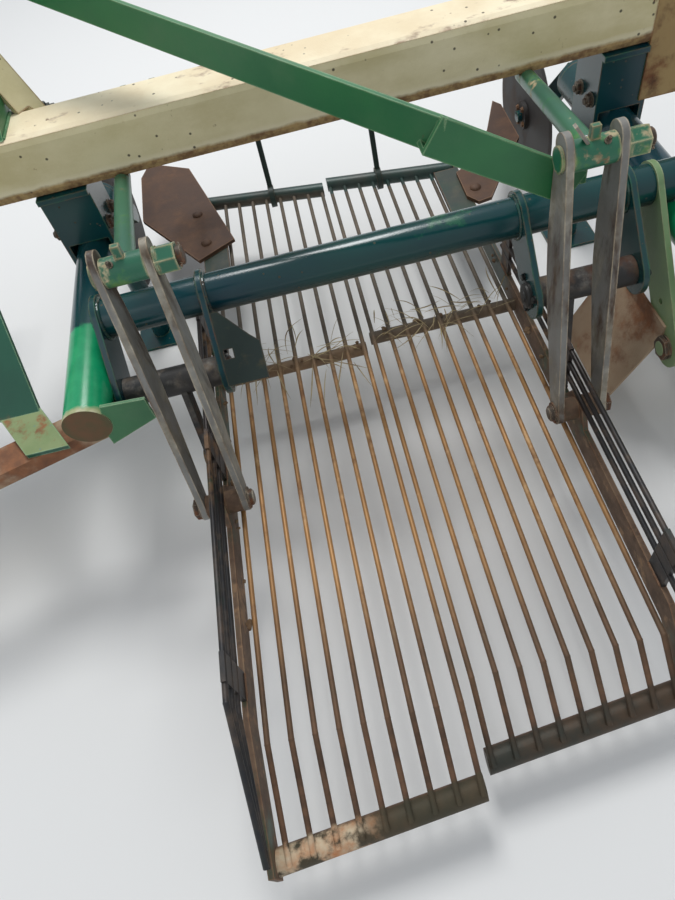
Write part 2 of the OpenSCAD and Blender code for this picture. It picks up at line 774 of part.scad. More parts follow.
module stub_shaft() {
    color("silver") translate([-head_x, box_y + box_len, stub_z]) rotate([-90, 0, 0]) {
        translate([0, 0, -journal_l]) cylinder(d = journal_d, h = journal_l);
        cylinder(d = stub_d, h = stub_l);
    }
}

module drive_tube() {
    // A tube from the gearbox to the crank case on the beam's front face
    color("darkgreen") {
        axle(-head_x + box_w / 2, case_x, drive_p, drive_d);
        axle(case_x, case_x + case_l, drive_p, case_d);
    }
}

// Wheels, discs and stands
module tyre(i) {
    x = i == 0 ? -wheel_left : wheel_right;
    r = wheel_r;
    color("dimgray") translate([x, axle_y, wheel_r]) rotate([0, 90, 0]) rotate_extrude($fn = 96)
        polygon([[rim_d / 2, -tyre_w / 2 + 14], [r - 34, -tyre_w / 2], [r - 10, -tyre_w / 2 + 10],
            [r, -tyre_w / 2 + 30], [r, tyre_w / 2 - 30], [r - 10, tyre_w / 2 - 10],
            [r - 34, tyre_w / 2], [rim_d / 2, tyre_w / 2 - 14]]);
}

module rim(i) {
    x = i == 0 ? -wheel_left : wheel_right;
    color("khaki") translate([x, axle_y, wheel_r]) rotate([0, 90, 0]) rotate_extrude($fn = 96)
        polygon([[axle_d / 2 + run, -46], [36, -46], [36, -6], [rim_d / 2 - 12, -6],
            [rim_d / 2 - 12, -tyre_w / 2 + 14], [rim_d / 2, -tyre_w / 2 + 14],
            [rim_d / 2, tyre_w / 2 - 14], [rim_d / 2 - 12, tyre_w / 2 - 14],
            [rim_d / 2 - 12, 6], [36, 6], [36, 46], [axle_d / 2 + run, 46]]);
}

module coulter_arms() {
    color("darkgreen") for (i = [0, 1]) {
        x = tube_x[i];
        s = sign(disc_x[i] - x);
        translate([x, tube_front, tube_z]) rotate([-90, 0, 0]) cylinder(d = tube_d, h = 12);
        plate_x(x, 14) strap([tube_front + 32, tube_z], [disc_y, disc_z], 52);
        axle(x, disc_x[i] + s * 26, [disc_y, disc_z], 30);
    }
}

module coulter_disc(i) {
    s = sign(disc_x[i] - tube_x[i]);
    color("saddlebrown") translate([disc_x[i], disc_y, disc_z]) rotate([0, s * 90, 0])
        rotate_extrude($fn = 96)
        polygon([[15 + run, -14], [38, -14], [38, -3], [disc_d / 2 - 14, -3], [disc_d / 2, -0.8],
            [disc_d / 2, 0.8], [disc_d / 2 - 14, 3], [38, 3], [38, 14], [15 + run, 14]]);
}

module stands() {
    color("darkgreen") for (x = tube_x) {
        translate([x, tube_front - 60, 8]) difference() {
            cylinder(d = stand_d, h = tube_z - 8);
            translate([0, -100, tube_z - 8]) rotate([-90, 0, 0]) cylinder(d = tube_d, h = 200);
        }
        block([x - foot_s / 2, tube_front - 60 - foot_s / 2, 0], [x + foot_s / 2, tube_front - 60 + foot_s / 2, 8]);
    }
}

place() {
    main_beam();
    beam_cap_left();
    beam_bracket_right();
    drop_brackets();
    side_tubes();
    cross_tube();
    lugs();
    rear_box_left();
    brace_plate_left();
    axle_left();
    wheel_arm_right();
    clod_guard_left();
    clod_guard_right();
    deflector_left();
    pivot_supports();
    mast_plates();
    lower_links();
    mast_brace();
    mast_stay();
    gearbox();
    stub_shaft();
    drive_tube();
    link_bracket();
    stands();
    coulter_arms();
    coulter_disc(0);  // coulter_disc_left
    coulter_disc(1);  // coulter_disc_right
    tyre(0);  // tyre_left
    rim(0);  // rim_left
    tyre(1);  // tyre_right
    rim(1);  // rim_right
    hanger(0);  // hanger_left
    hanger(1);  // hanger_right
    sieve_rods(0);  // sieve_rods_left
    sieve_rods(1);  // sieve_rods_right
    sieve_side(0);  // sieve_side_left
    sieve_side(1);  // sieve_side_right
    fence(0);  // fence_left
    fence(1);  // fence_right
    wing(0);  // wing_left
    wing(1);  // wing_right
    front_link(0);  // front_link_left
    front_link(1);  // front_link_right
    rocker(0);  // rocker_left
    rocker(1);  // rocker_right
}
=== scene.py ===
import json
import math

import bpy
import numpy as np
from mathutils import Matrix, Vector


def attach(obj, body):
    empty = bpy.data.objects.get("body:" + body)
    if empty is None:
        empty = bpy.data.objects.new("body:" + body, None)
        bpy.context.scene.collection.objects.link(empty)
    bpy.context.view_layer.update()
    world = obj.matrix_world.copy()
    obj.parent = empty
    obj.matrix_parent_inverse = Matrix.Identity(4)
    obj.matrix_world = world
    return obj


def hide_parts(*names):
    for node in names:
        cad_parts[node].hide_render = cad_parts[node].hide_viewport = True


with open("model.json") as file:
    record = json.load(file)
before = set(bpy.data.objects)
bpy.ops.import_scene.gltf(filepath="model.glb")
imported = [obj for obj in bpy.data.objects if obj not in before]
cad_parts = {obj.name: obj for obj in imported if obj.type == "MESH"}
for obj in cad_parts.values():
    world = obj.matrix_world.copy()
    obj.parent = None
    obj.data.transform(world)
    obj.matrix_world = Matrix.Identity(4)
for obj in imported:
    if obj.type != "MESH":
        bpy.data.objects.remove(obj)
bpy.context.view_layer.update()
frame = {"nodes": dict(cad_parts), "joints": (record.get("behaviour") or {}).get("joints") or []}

nodes = frame["nodes"]
joints = {j["name"]: j for j in frame["joints"]}
print("frame loaded:", len(nodes), "nodes")

# Places are written in millimetres in the unit's own frame: x from the middle of the sieve,
# y from the rear hangers, z from the floor. The left top pivot ties that frame to the model.
pivotPlace = (-360.0, 100.0)
tie = joints["swing_left"]["pos_m"]
unitOrigin = np.array([tie[0] - pivotPlace[0] / 1000.0, tie[1] - pivotPlace[1] / 1000.0, 0.0])


def at(points):
    # a place in metres = the unit's origin + millimetres / 1000
    return unitOrigin + np.asarray(points, float) / 1000.0


def jointPlace(name):
    # a joint's place in the unit's frame, in millimetres
    return (np.array(joints[name]["pos_m"]) - unitOrigin) * 1000.0


def rgb(red, green, blue):
    # screen values 0 to 255 turned into linear light
    c = np.array([red, green, blue]) / 255.0
    c = np.where(c <= 0.04045, c / 12.92, ((c + 0.055) / 1.055) ** 2.4)
    return (float(c[0]), float(c[1]), float(c[2]), 1.0)


# camera, floor and light
camera = {"place": (-76.9, -768.4, 1311.8), "lens": 26.797, "sensor": 36.0,
          "right": (0.97227, -0.16924, -0.16142), "up": (0.2315, 0.79452, 0.56138),
          "back": (0.03324, -0.58318, 0.81166)}
light = {"world": 0.62, "sky": (0.9, 0.94, 1.0, 1.0), "aim": (0.0, 0.0, 0.3),
         "key": 142.0, "keyPlace": (0.1, 2.3, 4.6), "keySize": 1.6,
         "fill": 16.0, "fillPlace": (-2.6, -2.4, 2.6), "fillSize": 3.0}
floor = {"radius": 14.0, "corners": 96, "colour": rgb(226, 226, 224), "rough": 0.85}


def setCamera(values):
    # the nearest true rotation to the three measured directions, from their singular values
    axes = np.array([values["right"], values["up"], values["back"]]).T
    u, _, v = np.linalg.svd(axes)
    turn = u @ v
    lens = bpy.data.cameras.new("camera")
    lens.lens = values["lens"]
    lens.sensor_width = values["sensor"]
    eye = bpy.data.objects.new("camera", lens)
    bpy.context.scene.collection.objects.link(eye)
    world = np.eye(4)
    world[:3, :3] = turn
    world[:3, 3] = at(values["place"])
    eye.matrix_world = Matrix(world.tolist())
    bpy.context.scene.camera = eye


def addNode(tree, kind, values=None, **settings):
    made = tree.nodes.new("ShaderNode" + kind)
    for key, value in settings.items():
        setattr(made, key, value)
    for key, value in (values or {}).items():
        socket = made.inputs[key]
        if isinstance(value, bpy.types.NodeSocket):
            tree.links.new(value, socket)
        else:
            socket.default_value = value
    return made


def addMath(tree, operation, a, b=0.0, clamp=False):
    return addNode(tree, "Math", {0: a, 1: b}, operation=operation, use_clamp=clamp).outputs[0]


def mixColour(tree, mask, under, over):
    return addNode(tree, "Mix", {0: mask, 6: under, 7: over}, data_type="RGBA").outputs[2]


def setFloorAndLight(values, lamps):
    # the floor's corner k lies at radius * (cos, sin) of 2 pi k / corners
    scene = bpy.context.scene
    scene.view_settings.view_transform = "Standard"
    count = values["corners"]
    steps = np.linspace(0, 2 * math.pi, count, endpoint=False)
    ring = np.stack([np.cos(steps), np.sin(steps), np.zeros(count)], 1) * values["radius"]
    mesh = bpy.data.meshes.new("floor")
    mesh.from_pydata(ring.tolist(), [], [list(range(count))])
    ground = bpy.data.objects.new("floor", mesh)
    scene.collection.objects.link(ground)
    paint = bpy.data.materials.new("floorPaint")
    paint.use_nodes = True
    shader = paint.node_tree.nodes["Principled BSDF"]
    shader.inputs["Base Color"].default_value = values["colour"]
    shader.inputs["Roughness"].default_value = values["rough"]
    mesh.materials.append(paint)
    world = bpy.data.worlds.new("studio")
    world.use_nodes = True
    back = world.node_tree.nodes["Background"]
    back.inputs["Color"].default_value = lamps["sky"]
    back.inputs["Strength"].default_value = lamps["world"]
    scene.world = world
    for name in ("key", "fill"):
        lamp = bpy.data.lights.new(name, "AREA")
        lamp.energy = lamps[name]
        lamp.size = lamps[name + "Size"]
        holder = bpy.data.objects.new(name, lamp)
        scene.collection.objects.link(holder)
        place = Vector(lamps[name + "Place"])
        holder.location = place
        holder.rotation_mode = "QUATERNION"
        holder.rotation_quaternion = (place - Vector(lamps["aim"])).to_track_quat("Z", "Y")


setCamera(camera)
setFloorAndLight(floor, light)
print("camera, floor and light set")


# shared effects, as node groups that put out one mask or height each
def newGroup(name, inputs, output):
    tree = bpy.data.node_groups.new(name, "ShaderNodeTree")
    for label, value in inputs.items():
        kind = "NodeSocketVector" if isinstance(value, tuple) else "NodeSocketFloat"
        socket = tree.interface.new_socket(label, in_out="INPUT", socket_type=kind)
        socket.default_value = value
    tree.interface.new_socket(output, in_out="OUTPUT", socket_type="NodeSocketFloat")
    return tree, tree.nodes.new("NodeGroupInput").outputs, tree.nodes.new("NodeGroupOutput").inputs


def objectPlace(tree, stretch=None):
    place = addNode(tree, "TexCoord").outputs["Object"]
    if stretch is None:
        return place
    return addNode(tree, "VectorMath", {0: place, 1: stretch}, operation="MULTIPLY").outputs[0]


def softStep(tree, value, low, high):
    return addNode(tree, "MapRange", {"Value": value, "From Min": low, "From Max": high}, clamp=True,
                   interpolation_type="SMOOTHSTEP").outputs[0]


def noise(tree, place, scale, detail=6.0, rough=0.6, offset=0.0):
    made = addNode(tree, "TexNoise", {"Vector": place, "Scale": scale, "Detail": detail, "Roughness": rough,
                                      "W": offset}, noise_dimensions="4D")
    return made.outputs["Fac"]


def makePatchMask():
    # two noises mixed, then cut at a level that follows Amount
    tree, put, out = newGroup("patchMask", {"Scale": 12.0, "Amount": 0.4, "Soft": 0.05, "Seed": 0.0,
                                            "Stretch": (1.0, 1.0, 1.0)}, "Mask")
    place = objectPlace(tree, put["Stretch"])
    fine = noise(tree, place, put["Scale"], detail=8.0, rough=0.62, offset=put["Seed"])
    wide = addMath(tree, "MULTIPLY", put["Scale"], 0.27)
    broad = noise(tree, place, wide, detail=2.0, rough=0.5, offset=put["Seed"])
    both = addMath(tree, "ADD", addMath(tree, "MULTIPLY", fine, 0.6), addMath(tree, "MULTIPLY", broad, 0.4))
    level = addMath(tree, "SUBTRACT", 0.75, addMath(tree, "MULTIPLY", put["Amount"], 0.5))
    low = addMath(tree, "SUBTRACT", level, put["Soft"])
    high = addMath(tree, "ADD", level, put["Soft"])
    tree.links.new(softStep(tree, both, low, high), out["Mask"])
    return tree


def makeEdgeMask():
    # how far the rounded normal turns from the plain one, broken up by noise
    start = {"Radius": 0.004, "Amount": 0.6, "Scale": 70.0, "Seed": 0.0}
    tree, put, out = newGroup("edgeMask", start, "Mask")
    rounded = addNode(tree, "Bevel", {"Radius": put["Radius"]}, samples=3).outputs[0]
    plain = addNode(tree, "NewGeometry").outputs["Normal"]
    dot = addNode(tree, "VectorMath", {0: rounded, 1: plain}, operation="DOT_PRODUCT").outputs["Value"]
    bend = addMath(tree, "MULTIPLY", addMath(tree, "SUBTRACT", 1.0, dot), 7.0, True)
    grain = noise(tree, objectPlace(tree), put["Scale"], detail=5.0, rough=0.65, offset=put["Seed"])
    level = addMath(tree, "SUBTRACT", 1.25, put["Amount"])
    mixed = addMath(tree, "ADD", bend, addMath(tree, "MULTIPLY", addMath(tree, "SUBTRACT", grain, 0.5), 1.3))
    high = addMath(tree, "ADD", level, 0.18)
    tree.links.new(softStep(tree, mixed, level, high), out["Mask"])
    return tree


def makeBandMask():
    # distance along an axis, made ragged by noise, from 0 at Start to 1 at End
    tree, put, out = newGroup("bandMask", {"Axis": (0.0, 0.0, 1.0), "Start": 0.0, "End": 1.0, "Ragged": 0.02,
                                           "Scale": 14.0, "Seed": 0.0}, "Mask")
    place = objectPlace(tree)
    along = addNode(tree, "VectorMath", {0: place, 1: put["Axis"]}, operation="DOT_PRODUCT").outputs["Value"]
    ragged = noise(tree, place, put["Scale"], detail=8.0, rough=0.65, offset=put["Seed"])
    shake = addMath(tree, "SUBTRACT", ragged, 0.5)
    moved = addMath(tree, "ADD", along, addMath(tree, "MULTIPLY", shake, put["Ragged"]))
    ends = {"Value": moved, "From Min": put["Start"], "From Max": put["End"]}
    tree.links.new(addNode(tree, "MapRange", ends, clamp=True).outputs[0], out["Mask"])
    return tree


def makeFaceMask():
    # how far a face looks along a direction
    tree, put, out = newGroup("faceMask", {"Direction": (0.0, 0.0, 1.0), "Start": 0.3, "End": 0.7}, "Mask")
    normal = addNode(tree, "TexCoord").outputs["Normal"]
    dot = addNode(tree, "VectorMath", {0: normal, 1: put["Direction"]}, operation="DOT_PRODUCT")
    tree.links.new(softStep(tree, dot.outputs["Value"], put["Start"], put["End"]), out["Mask"])
    return tree


def makeSpeckMask():
    # small round spots: near a cell's middle and only in some cells
    tree, put, out = newGroup("speckMask", {"Scale": 90.0, "Size": 0.25, "Share": 0.3}, "Mask")
    cell = addNode(tree, "TexVoronoi", {"Vector": objectPlace(tree), "Scale": put["Scale"]})
    near = softStep(tree, cell.outputs["Distance"], put["Size"], addMath(tree, "MULTIPLY", put["Size"], 0.6))
    pick = addNode(tree, "SeparateColor", {"Color": cell.outputs["Color"]}).outputs[0]
    chosen = addMath(tree, "LESS_THAN", pick, put["Share"])
    tree.links.new(addMath(tree, "MULTIPLY", near, chosen), out["Mask"])
    return tree


def makeGrain():
    # fine noise on broad noise
    tree, put, out = newGroup("surfaceGrain", {"Scale": 300.0, "Broad": 0.5}, "Height")
    place = objectPlace(tree)
    fine = noise(tree, place, put["Scale"], detail=4.0, rough=0.6)
    wide = addMath(tree, "MULTIPLY", put["Scale"], 0.12)
    broad = noise(tree, place, wide, detail=3.0, rough=0.55, offset=3.0)
    both = addMath(tree, "ADD", fine, addMath(tree, "MULTIPLY", broad, put["Broad"]))
    tree.links.new(both, out["Height"])
    return tree


groups = {"patch": makePatchMask(), "edge": makeEdgeMask(), "band": makeBandMask(), "face": makeFaceMask(),
          "speck": makeSpeckMask(), "grain": makeGrain()}


def placeGroup(tree, kind, values):
    made = tree.nodes.new("ShaderNodeGroup")
    made.node_tree = groups[kind]
    for key, value in values.items():
        made.inputs[key].default_value = value
    return made.outputs[0]


def makeFinish(name, values):
    # a base of two tones, then layers: each is a mask (or the product of two) with its colour and roughness
    paint = bpy.data.materials.new(name)
    paint.use_nodes = True
    tree = paint.node_tree
    shader = tree.nodes["Principled BSDF"]
    tones = placeGroup(tree, "patch", {"Scale": values.get("toneScale", 6.0), "Amount": 0.5, "Soft": 0.16})
    colour = mixColour(tree, tones, values["base"], values["second"])
    rough = None
    metal = None
    for coat in values["layers"]:
        masks = [placeGroup(tree, kind, settings) for kind, settings in coat["masks"]]
        mask = masks[0]
        for other in masks[1:]:
            mask = addMath(tree, "MULTIPLY", mask, other)
        mask = addMath(tree, "MULTIPLY", mask, coat.get("strength", 1.0))
        top = coat["colour"]
        if "second" in coat:
            spots = placeGroup(tree, "patch", {"Scale": coat.get("scale", 45.0), "Amount": 0.5, "Soft": 0.12,
                                               "Seed": 7.0})
            top = mixColour(tree, spots, coat["colour"], coat["second"])
        colour = mixColour(tree, mask, colour, top)
        if "rough" in coat:
            under = values["rough"] if rough is None else rough
            rough = addNode(tree, "Mix", {0: mask, 2: under, 3: coat["rough"]}).outputs[0]
        if "metal" in coat:
            under = values.get("metal", 0.0) if metal is None else metal
            metal = addNode(tree, "Mix", {0: mask, 2: under, 3: coat["metal"]}).outputs[0]
    tree.links.new(colour, shader.inputs["Base Color"])
    if rough is None:
        shader.inputs["Roughness"].default_value = values["rough"]
    else:
        tree.links.new(rough, shader.inputs["Roughness"])
    if metal is None:
        shader.inputs["Metallic"].default_value = values.get("metal", 0.0)
    else:
        tree.links.new(metal, shader.inputs["Metallic"])
    grain = {"Scale": values.get("grain", 300.0), "Broad": values.get("broad", 0.6)}
    height = placeGroup(tree, "grain", grain)
    bump = addNode(tree, "Bump", {"Height": height, "Strength": values.get("bump", 0.25), "Distance": 0.002})
    tree.links.new(bump.outputs[0], shader.inputs["Normal"])
    return paint


def worldBand(axis, place, width, ragged, scale=14.0, seed=0.0):
    # a band mask that starts at a place of the unit's frame and grows over width, both in millimetres
    start = float(np.dot(at(place), axis))
    return ("band", {"Axis": axis, "Start": start, "End": start + width / 1000.0, "Ragged": ragged / 1000.0,
                     "Scale": scale, "Seed": seed})


def patch(scale, amount, soft, seed, stretch=(1.0, 1.0, 1.0)):
    # blotches; a larger amount covers more
    return ("patch", {"Scale": scale, "Amount": amount, "Soft": soft, "Seed": seed, "Stretch": stretch})


def edge(radius, amount, scale):
    # wear along edges
    return ("edge", {"Radius": radius, "Amount": amount, "Scale": scale})


def facing(direction, start, end):
    # faces that look along a direction
    return ("face", {"Direction": direction, "Start": start, "End": end})


def specks(scale, size, share):
    # small round spots
    return ("speck", {"Scale": scale, "Size": size, "Share": share})


def layer(masks, colour, **rest):
    # rest may hold a second colour with its scale, rough, metal and strength
    return {"masks": masks, "colour": colour, **rest}


rust = {"dark": rgb(74, 46, 32), "mid": rgb(122, 76, 46), "light": rgb(164, 112, 66),
        "orange": rgb(150, 88, 44)}
mud = rgb(128, 112, 92)
beamZ = 574.0
# the sieve's end tubes run askew: along x they go forward or back by these shares
frontAxis, frontStart = (0.2, 1.0, 0.0), 926.0
rearAxis = (0.12, -1.0, 0.0)
upward = (0.0, 0.0, 1.0)
downward = (0.0, 0.0, -1.0)
rearward = (0.0, -1.0, 0.0)
tealBase = {"base": rgb(6, 52, 64), "second": rgb(10, 64, 62), "toneScale": 4.0, "rough": 0.2, "bump": 0.08}
tealLayers = [
    layer([patch(11.0, 0.26, 0.02, 12.0)], rgb(20, 92, 62), rough=0.3, strength=0.8),
    layer([facing(downward, -0.1, 0.8)], rgb(60, 60, 38), second=rgb(42, 50, 36), rough=0.45,
          strength=0.8),
    layer([patch(26.0, 0.18, 0.015, 3.0)], rust["mid"], second=rust["dark"], rough=0.85),
    layer([edge(0.005, 0.5, 55.0)], rgb(40, 112, 76), second=rust["mid"], rough=0.6),
    layer([specks(70.0, 0.2, 0.2)], rgb(60, 58, 40), rough=0.7)]
finishes = {
    "beamCream": {"base": rgb(232, 221, 184), "second": rgb(214, 203, 160), "toneScale": 5.0, "rough": 0.48,
        "grain": 220.0, "bump": 0.2, "layers": [
        layer([patch(9.0, 0.42, 0.1, 2.0, (0.5, 1.0, 1.0))], rgb(190, 176, 124), strength=0.7),
        # the top faces a paler cream: painted light where the light falls on the beam's top
        layer([facing(upward, 0.5, 0.9)], rgb(242, 230, 198), second=rgb(226, 208, 172), scale=8.0,
              rough=0.6),
        layer([facing(upward, 0.5, 0.9), patch(30.0, 0.34, 0.05, 5.0, (0.6, 1.0, 1.0))],
              rgb(150, 118, 100), second=rgb(118, 86, 74), rough=0.75, strength=0.8),
        # a pale cream line just above the lower band: a painted highlight along the beam's lower bend
        layer([worldBand(upward, (0, 0, beamZ + 36), -6.0, 14.0, 20.0, 3.0)], rgb(226, 216, 184),
              rough=0.6, strength=0.6),
        layer([worldBand(upward, (0, 0, beamZ + 27), -7.0, 16.0, 26.0, 1.0)], rgb(176, 148, 98),
              second=rgb(118, 88, 58), scale=80.0, rough=0.85),
        layer([edge(0.006, 0.62, 60.0)], rust["mid"], second=rust["light"], rough=0.85),
        layer([specks(46.0, 0.16, 0.34)], rgb(44, 36, 28), rough=0.8, strength=0.85),
        layer([patch(60.0, 0.2, 0.015, 9.0)], rust["dark"], second=rust["mid"], rough=0.9)]},
    "endOchre": {"base": rgb(166, 138, 88), "second": rgb(136, 108, 68), "rough": 0.6, "layers": [
        layer([patch(16.0, 0.4, 0.06, 4.0)], rust["mid"], second=rust["dark"], rough=0.9),
        layer([edge(0.005, 0.7, 60.0)], rust["dark"], second=rust["light"], rough=0.85)]},
    "tubeTeal": {**tealBase, "layers": tealLayers},
    "tubeTorn": {**tealBase, "layers": tealLayers + [
        layer([worldBand(rearward, (0, 300, 0), 10.0, 110.0, 9.0, 4.0)], rgb(6, 134, 88),
              second=rgb(34, 158, 104), scale=14.0, rough=0.22),
        layer([worldBand(rearward, (0, 82, 0), 8.0, 30.0, 30.0, 6.0)], rgb(150, 160, 110),
              second=rgb(196, 190, 160), rough=0.6),
        layer([facing(rearward, 0.7, 0.9)], rgb(112, 78, 54), second=rgb(56, 82, 52), scale=12.0,
              rough=0.85)]},
    "sleeveGreen": {"base": rgb(24, 84, 70), "second": rgb(40, 106, 76), "rough": 0.35, "bump": 0.15,
        "layers": [
        layer([patch(26.0, 0.4, 0.04, 13.0)], rgb(96, 132, 74), second=rgb(40, 120, 60), rough=0.55),
        layer([patch(34.0, 0.3, 0.03, 15.0)], rgb(196, 184, 146), second=rgb(120, 96, 66), rough=0.7),
        layer([edge(0.006, 0.85, 50.0)], rgb(206, 190, 150), second=rgb(150, 122, 86), rough=0.7)]},
    "blackDust": {"base": rgb(28, 30, 32), "second": rgb(46, 42, 38), "rough": 0.5, "bump": 0.3, "layers": [
        layer([facing((0.0, -0.3, 0.95), 0.3, 0.9), patch(24.0, 0.5, 0.08, 17.0)], rgb(146, 142, 134),
              second=rgb(112, 96, 78), rough=0.85),
        layer([patch(16.0, 0.36, 0.05, 19.0)], rust["dark"], second=rgb(104, 84, 64), rough=0.8)]},
    "midGreen": {"base": rgb(46, 116, 66), "second": rgb(36, 100, 60), "rough": 0.38, "bump": 0.12,
        "layers": [
        layer([patch(10.0, 0.34, 0.1, 21.0)], rgb(66, 114, 74), rough=0.45, strength=0.8),
        layer([edge(0.004, 0.62, 60.0)], rgb(158, 190, 150), second=rgb(120, 150, 100), rough=0.6),
        layer([patch(34.0, 0.2, 0.02, 31.0)], rust["mid"], second=rust["dark"], rough=0.85)]},
    "braceGreen": {"base": rgb(22, 84, 62), "second": rgb(16, 72, 54), "rough": 0.42, "bump": 0.12,
        "layers": [
        # the top faces a light green: a painted highlight where light falls on the top
        layer([facing(upward, 0.92, 0.97)], rgb(132, 146, 100), second=rgb(104, 128, 78), scale=10.0,
              rough=0.55),
        layer([worldBand(rearward, (0, 176, 0), 18.0, 40.0, 24.0, 8.0),
              patch(18.0, 0.46, 0.04, 33.0)], rgb(142, 92, 58), second=rgb(112, 70, 46), rough=0.85),
        layer([edge(0.004, 0.6, 60.0)], rgb(150, 186, 150), second=rgb(112, 140, 96), rough=0.6),
        layer([specks(60.0, 0.16, 0.12)], rgb(110, 136, 116))]},
    "paleGreen": {"base": rgb(118, 144, 98), "second": rgb(102, 130, 90), "rough": 0.45, "bump": 0.15,
        "layers": [
        layer([patch(14.0, 0.34, 0.08, 23.0)], rgb(138, 154, 110), rough=0.6, strength=0.8),
        layer([patch(30.0, 0.24, 0.02, 25.0)], rust["mid"], second=rust["orange"], rough=0.85),
        layer([edge(0.004, 0.62, 60.0)], rgb(178, 190, 150), second=rgb(110, 96, 66), rough=0.6)]},
    "wornGreen": {"base": rgb(34, 62, 44), "second": rgb(46, 80, 50), "rough": 0.45, "bump": 0.2, "layers": [
        layer([patch(12.0, 0.56, 0.06, 41.0)], rgb(112, 88, 68), second=rgb(84, 64, 48), rough=0.75),
        layer([patch(30.0, 0.36, 0.04, 43.0)], rgb(150, 116, 82), second=rgb(128, 104, 80), rough=0.75),
        layer([worldBand((0.0, 1.0, 0.0), (0, 380, 0), 60.0, 90.0, 9.0, 3.0)], rgb(20, 48, 44),
              second=rgb(40, 60, 46), scale=18.0, rough=0.45, strength=0.85),
        layer([edge(0.004, 0.7, 60.0)], rgb(150, 126, 96), second=rust["mid"], rough=0.7)]},
    "deepGreen": {"base": rgb(26, 48, 38), "second": rgb(18, 36, 32), "rough": 0.45, "bump": 0.15, "layers": [
        layer([patch(24.0, 0.34, 0.05, 46.0)], rgb(74, 66, 46), second=rgb(50, 62, 44), rough=0.7),
        layer([edge(0.004, 0.5, 60.0)], rgb(96, 92, 66), second=rust["dark"], rough=0.7)]},
    "fenceDark": {"base": rgb(58, 50, 46), "second": rgb(42, 38, 38), "rough": 0.4, "metal": 0.4, "bump": 0.2,
        "layers": [
        layer([patch(24.0, 0.42, 0.06, 45.0)], rgb(104, 80, 58), second=rgb(134, 104, 76), rough=0.65,
              metal=0.1),
        layer([patch(18.0, 0.3, 0.04, 47.0)], rgb(40, 66, 44), rough=0.5),
        layer([worldBand(rearward, (0, -60, 0), 160.0, 60.0, 14.0, 5.0)], rgb(38, 42, 46),
              second=rgb(52, 50, 48), rough=0.45, strength=0.8)]},
    "rustySteel": {"base": rgb(84, 60, 44), "second": rgb(68, 48, 37), "rough": 0.6, "metal": 0.2,
        "bump": 0.3, "layers": [
        layer([patch(10.0, 0.42, 0.12, 51.0)], rgb(112, 80, 56), second=rgb(92, 66, 48), rough=0.72),
        layer([edge(0.004, 0.66, 60.0)], rgb(150, 114, 84), rough=0.6)]},
    "paleRust": {"base": rgb(174, 152, 126), "second": rgb(150, 124, 98), "rough": 0.75, "bump": 0.35,
        "layers": [
        layer([patch(12.0, 0.42, 0.06, 53.0)], rgb(142, 94, 62), second=rgb(112, 76, 54), rough=0.85),
        layer([patch(16.0, 0.24, 0.03, 55.0)], rgb(112, 130, 86), rough=0.6)]},
    # the coulter discs' dark steel made darker still: painted shade on the discs
    "discDarkWithPaintedShade": {"base": rgb(40, 35, 31), "second": rgb(30, 27, 26), "rough": 0.62, "bump": 0.2, "layers": [
        layer([patch(14.0, 0.34, 0.08, 57.0)], rgb(70, 52, 38), second=rgb(54, 40, 31), rough=0.8)]},
    "rodTan": {"base": rgb(178, 134, 84), "second": rgb(152, 112, 70), "toneScale": 14.0, "rough": 0.46,
        "metal": 0.3, "bump": 0.25, "grain": 420.0, "layers": [
        layer([patch(30.0, 0.4, 0.06, 61.0)], rgb(126, 88, 56), second=rgb(204, 166, 120), rough=0.65),
        # the rods darker brown from y = -210 rearward: painted shade on the rods' rear part
        layer([worldBand((0.0, 1.0, 0.0), (0, -210, 0), -200.0, 160.0, 8.0, 2.0)], rgb(92, 68, 52),
              second=rgb(60, 48, 40), rough=0.6, strength=0.85),
        # the rods grey-brown from y = 210 forward: painted shade of the tube above over the rods' front part
        layer([worldBand((0.0, 1.0, 0.0), (0, 210, 0), 150.0, 100.0, 8.0, 5.0)], rgb(98, 90, 78),
              second=rgb(72, 68, 60), rough=0.6, metal=0.1, strength=0.92),
        layer([worldBand(rearward, (0, -470, 0), 70.0, 30.0, 20.0, 4.0)], rgb(112, 82, 60),
              second=rgb(78, 58, 44), rough=0.7),
        layer([worldBand(frontAxis, (0, frontStart, 0), 6.0, 10.0, 20.0, 6.0)], rgb(26, 62, 56),
              second=rgb(60, 66, 60), scale=12.0, rough=0.4),
        layer([worldBand(rearAxis, (0, -589, 0), 6.0, 6.0, 26.0, 7.0),
              worldBand((-1.0, 0.0, 0.0), (0, 0, 0), 2.0, 0.0)], rgb(84, 70, 50), second=rgb(66, 62, 46),
              scale=18.0, rough=0.65),
        layer([worldBand(rearAxis, (0, -589, 0), 6.0, 6.0, 26.0, 7.0),
              worldBand((-1.0, 0.0, 0.0), (-170, 0, 0), 60.0, 60.0, 20.0, 2.0), patch(26.0, 0.5, 0.04, 65.0)],
              rgb(190, 124, 74), second=rgb(204, 188, 160), scale=30.0, rough=0.75),
        layer([worldBand(rearAxis, (0, -554, 0), 6.0, 6.0, 26.0, 7.0),
              worldBand((1.0, 0.0, 0.0), (0, 0, 0), 2.0, 0.0)], rgb(50, 52, 44), second=rgb(74, 58, 42),
              scale=22.0, rough=0.55)]},
    "hangerGrey": {"base": rgb(138, 138, 134), "second": rgb(110, 106, 99), "toneScale": 12.0, "rough": 0.55,
        "metal": 0.2, "bump": 0.35, "layers": [
        layer([patch(20.0, 0.5, 0.05, 71.0, (1.0, 1.0, 0.35))], rgb(160, 155, 142), second=rgb(122, 114, 98),
              rough=0.65),
        layer([patch(14.0, 0.42, 0.04, 75.0, (1.0, 1.0, 0.3))], rgb(66, 52, 42), second=rgb(90, 70, 52),
              rough=0.75),
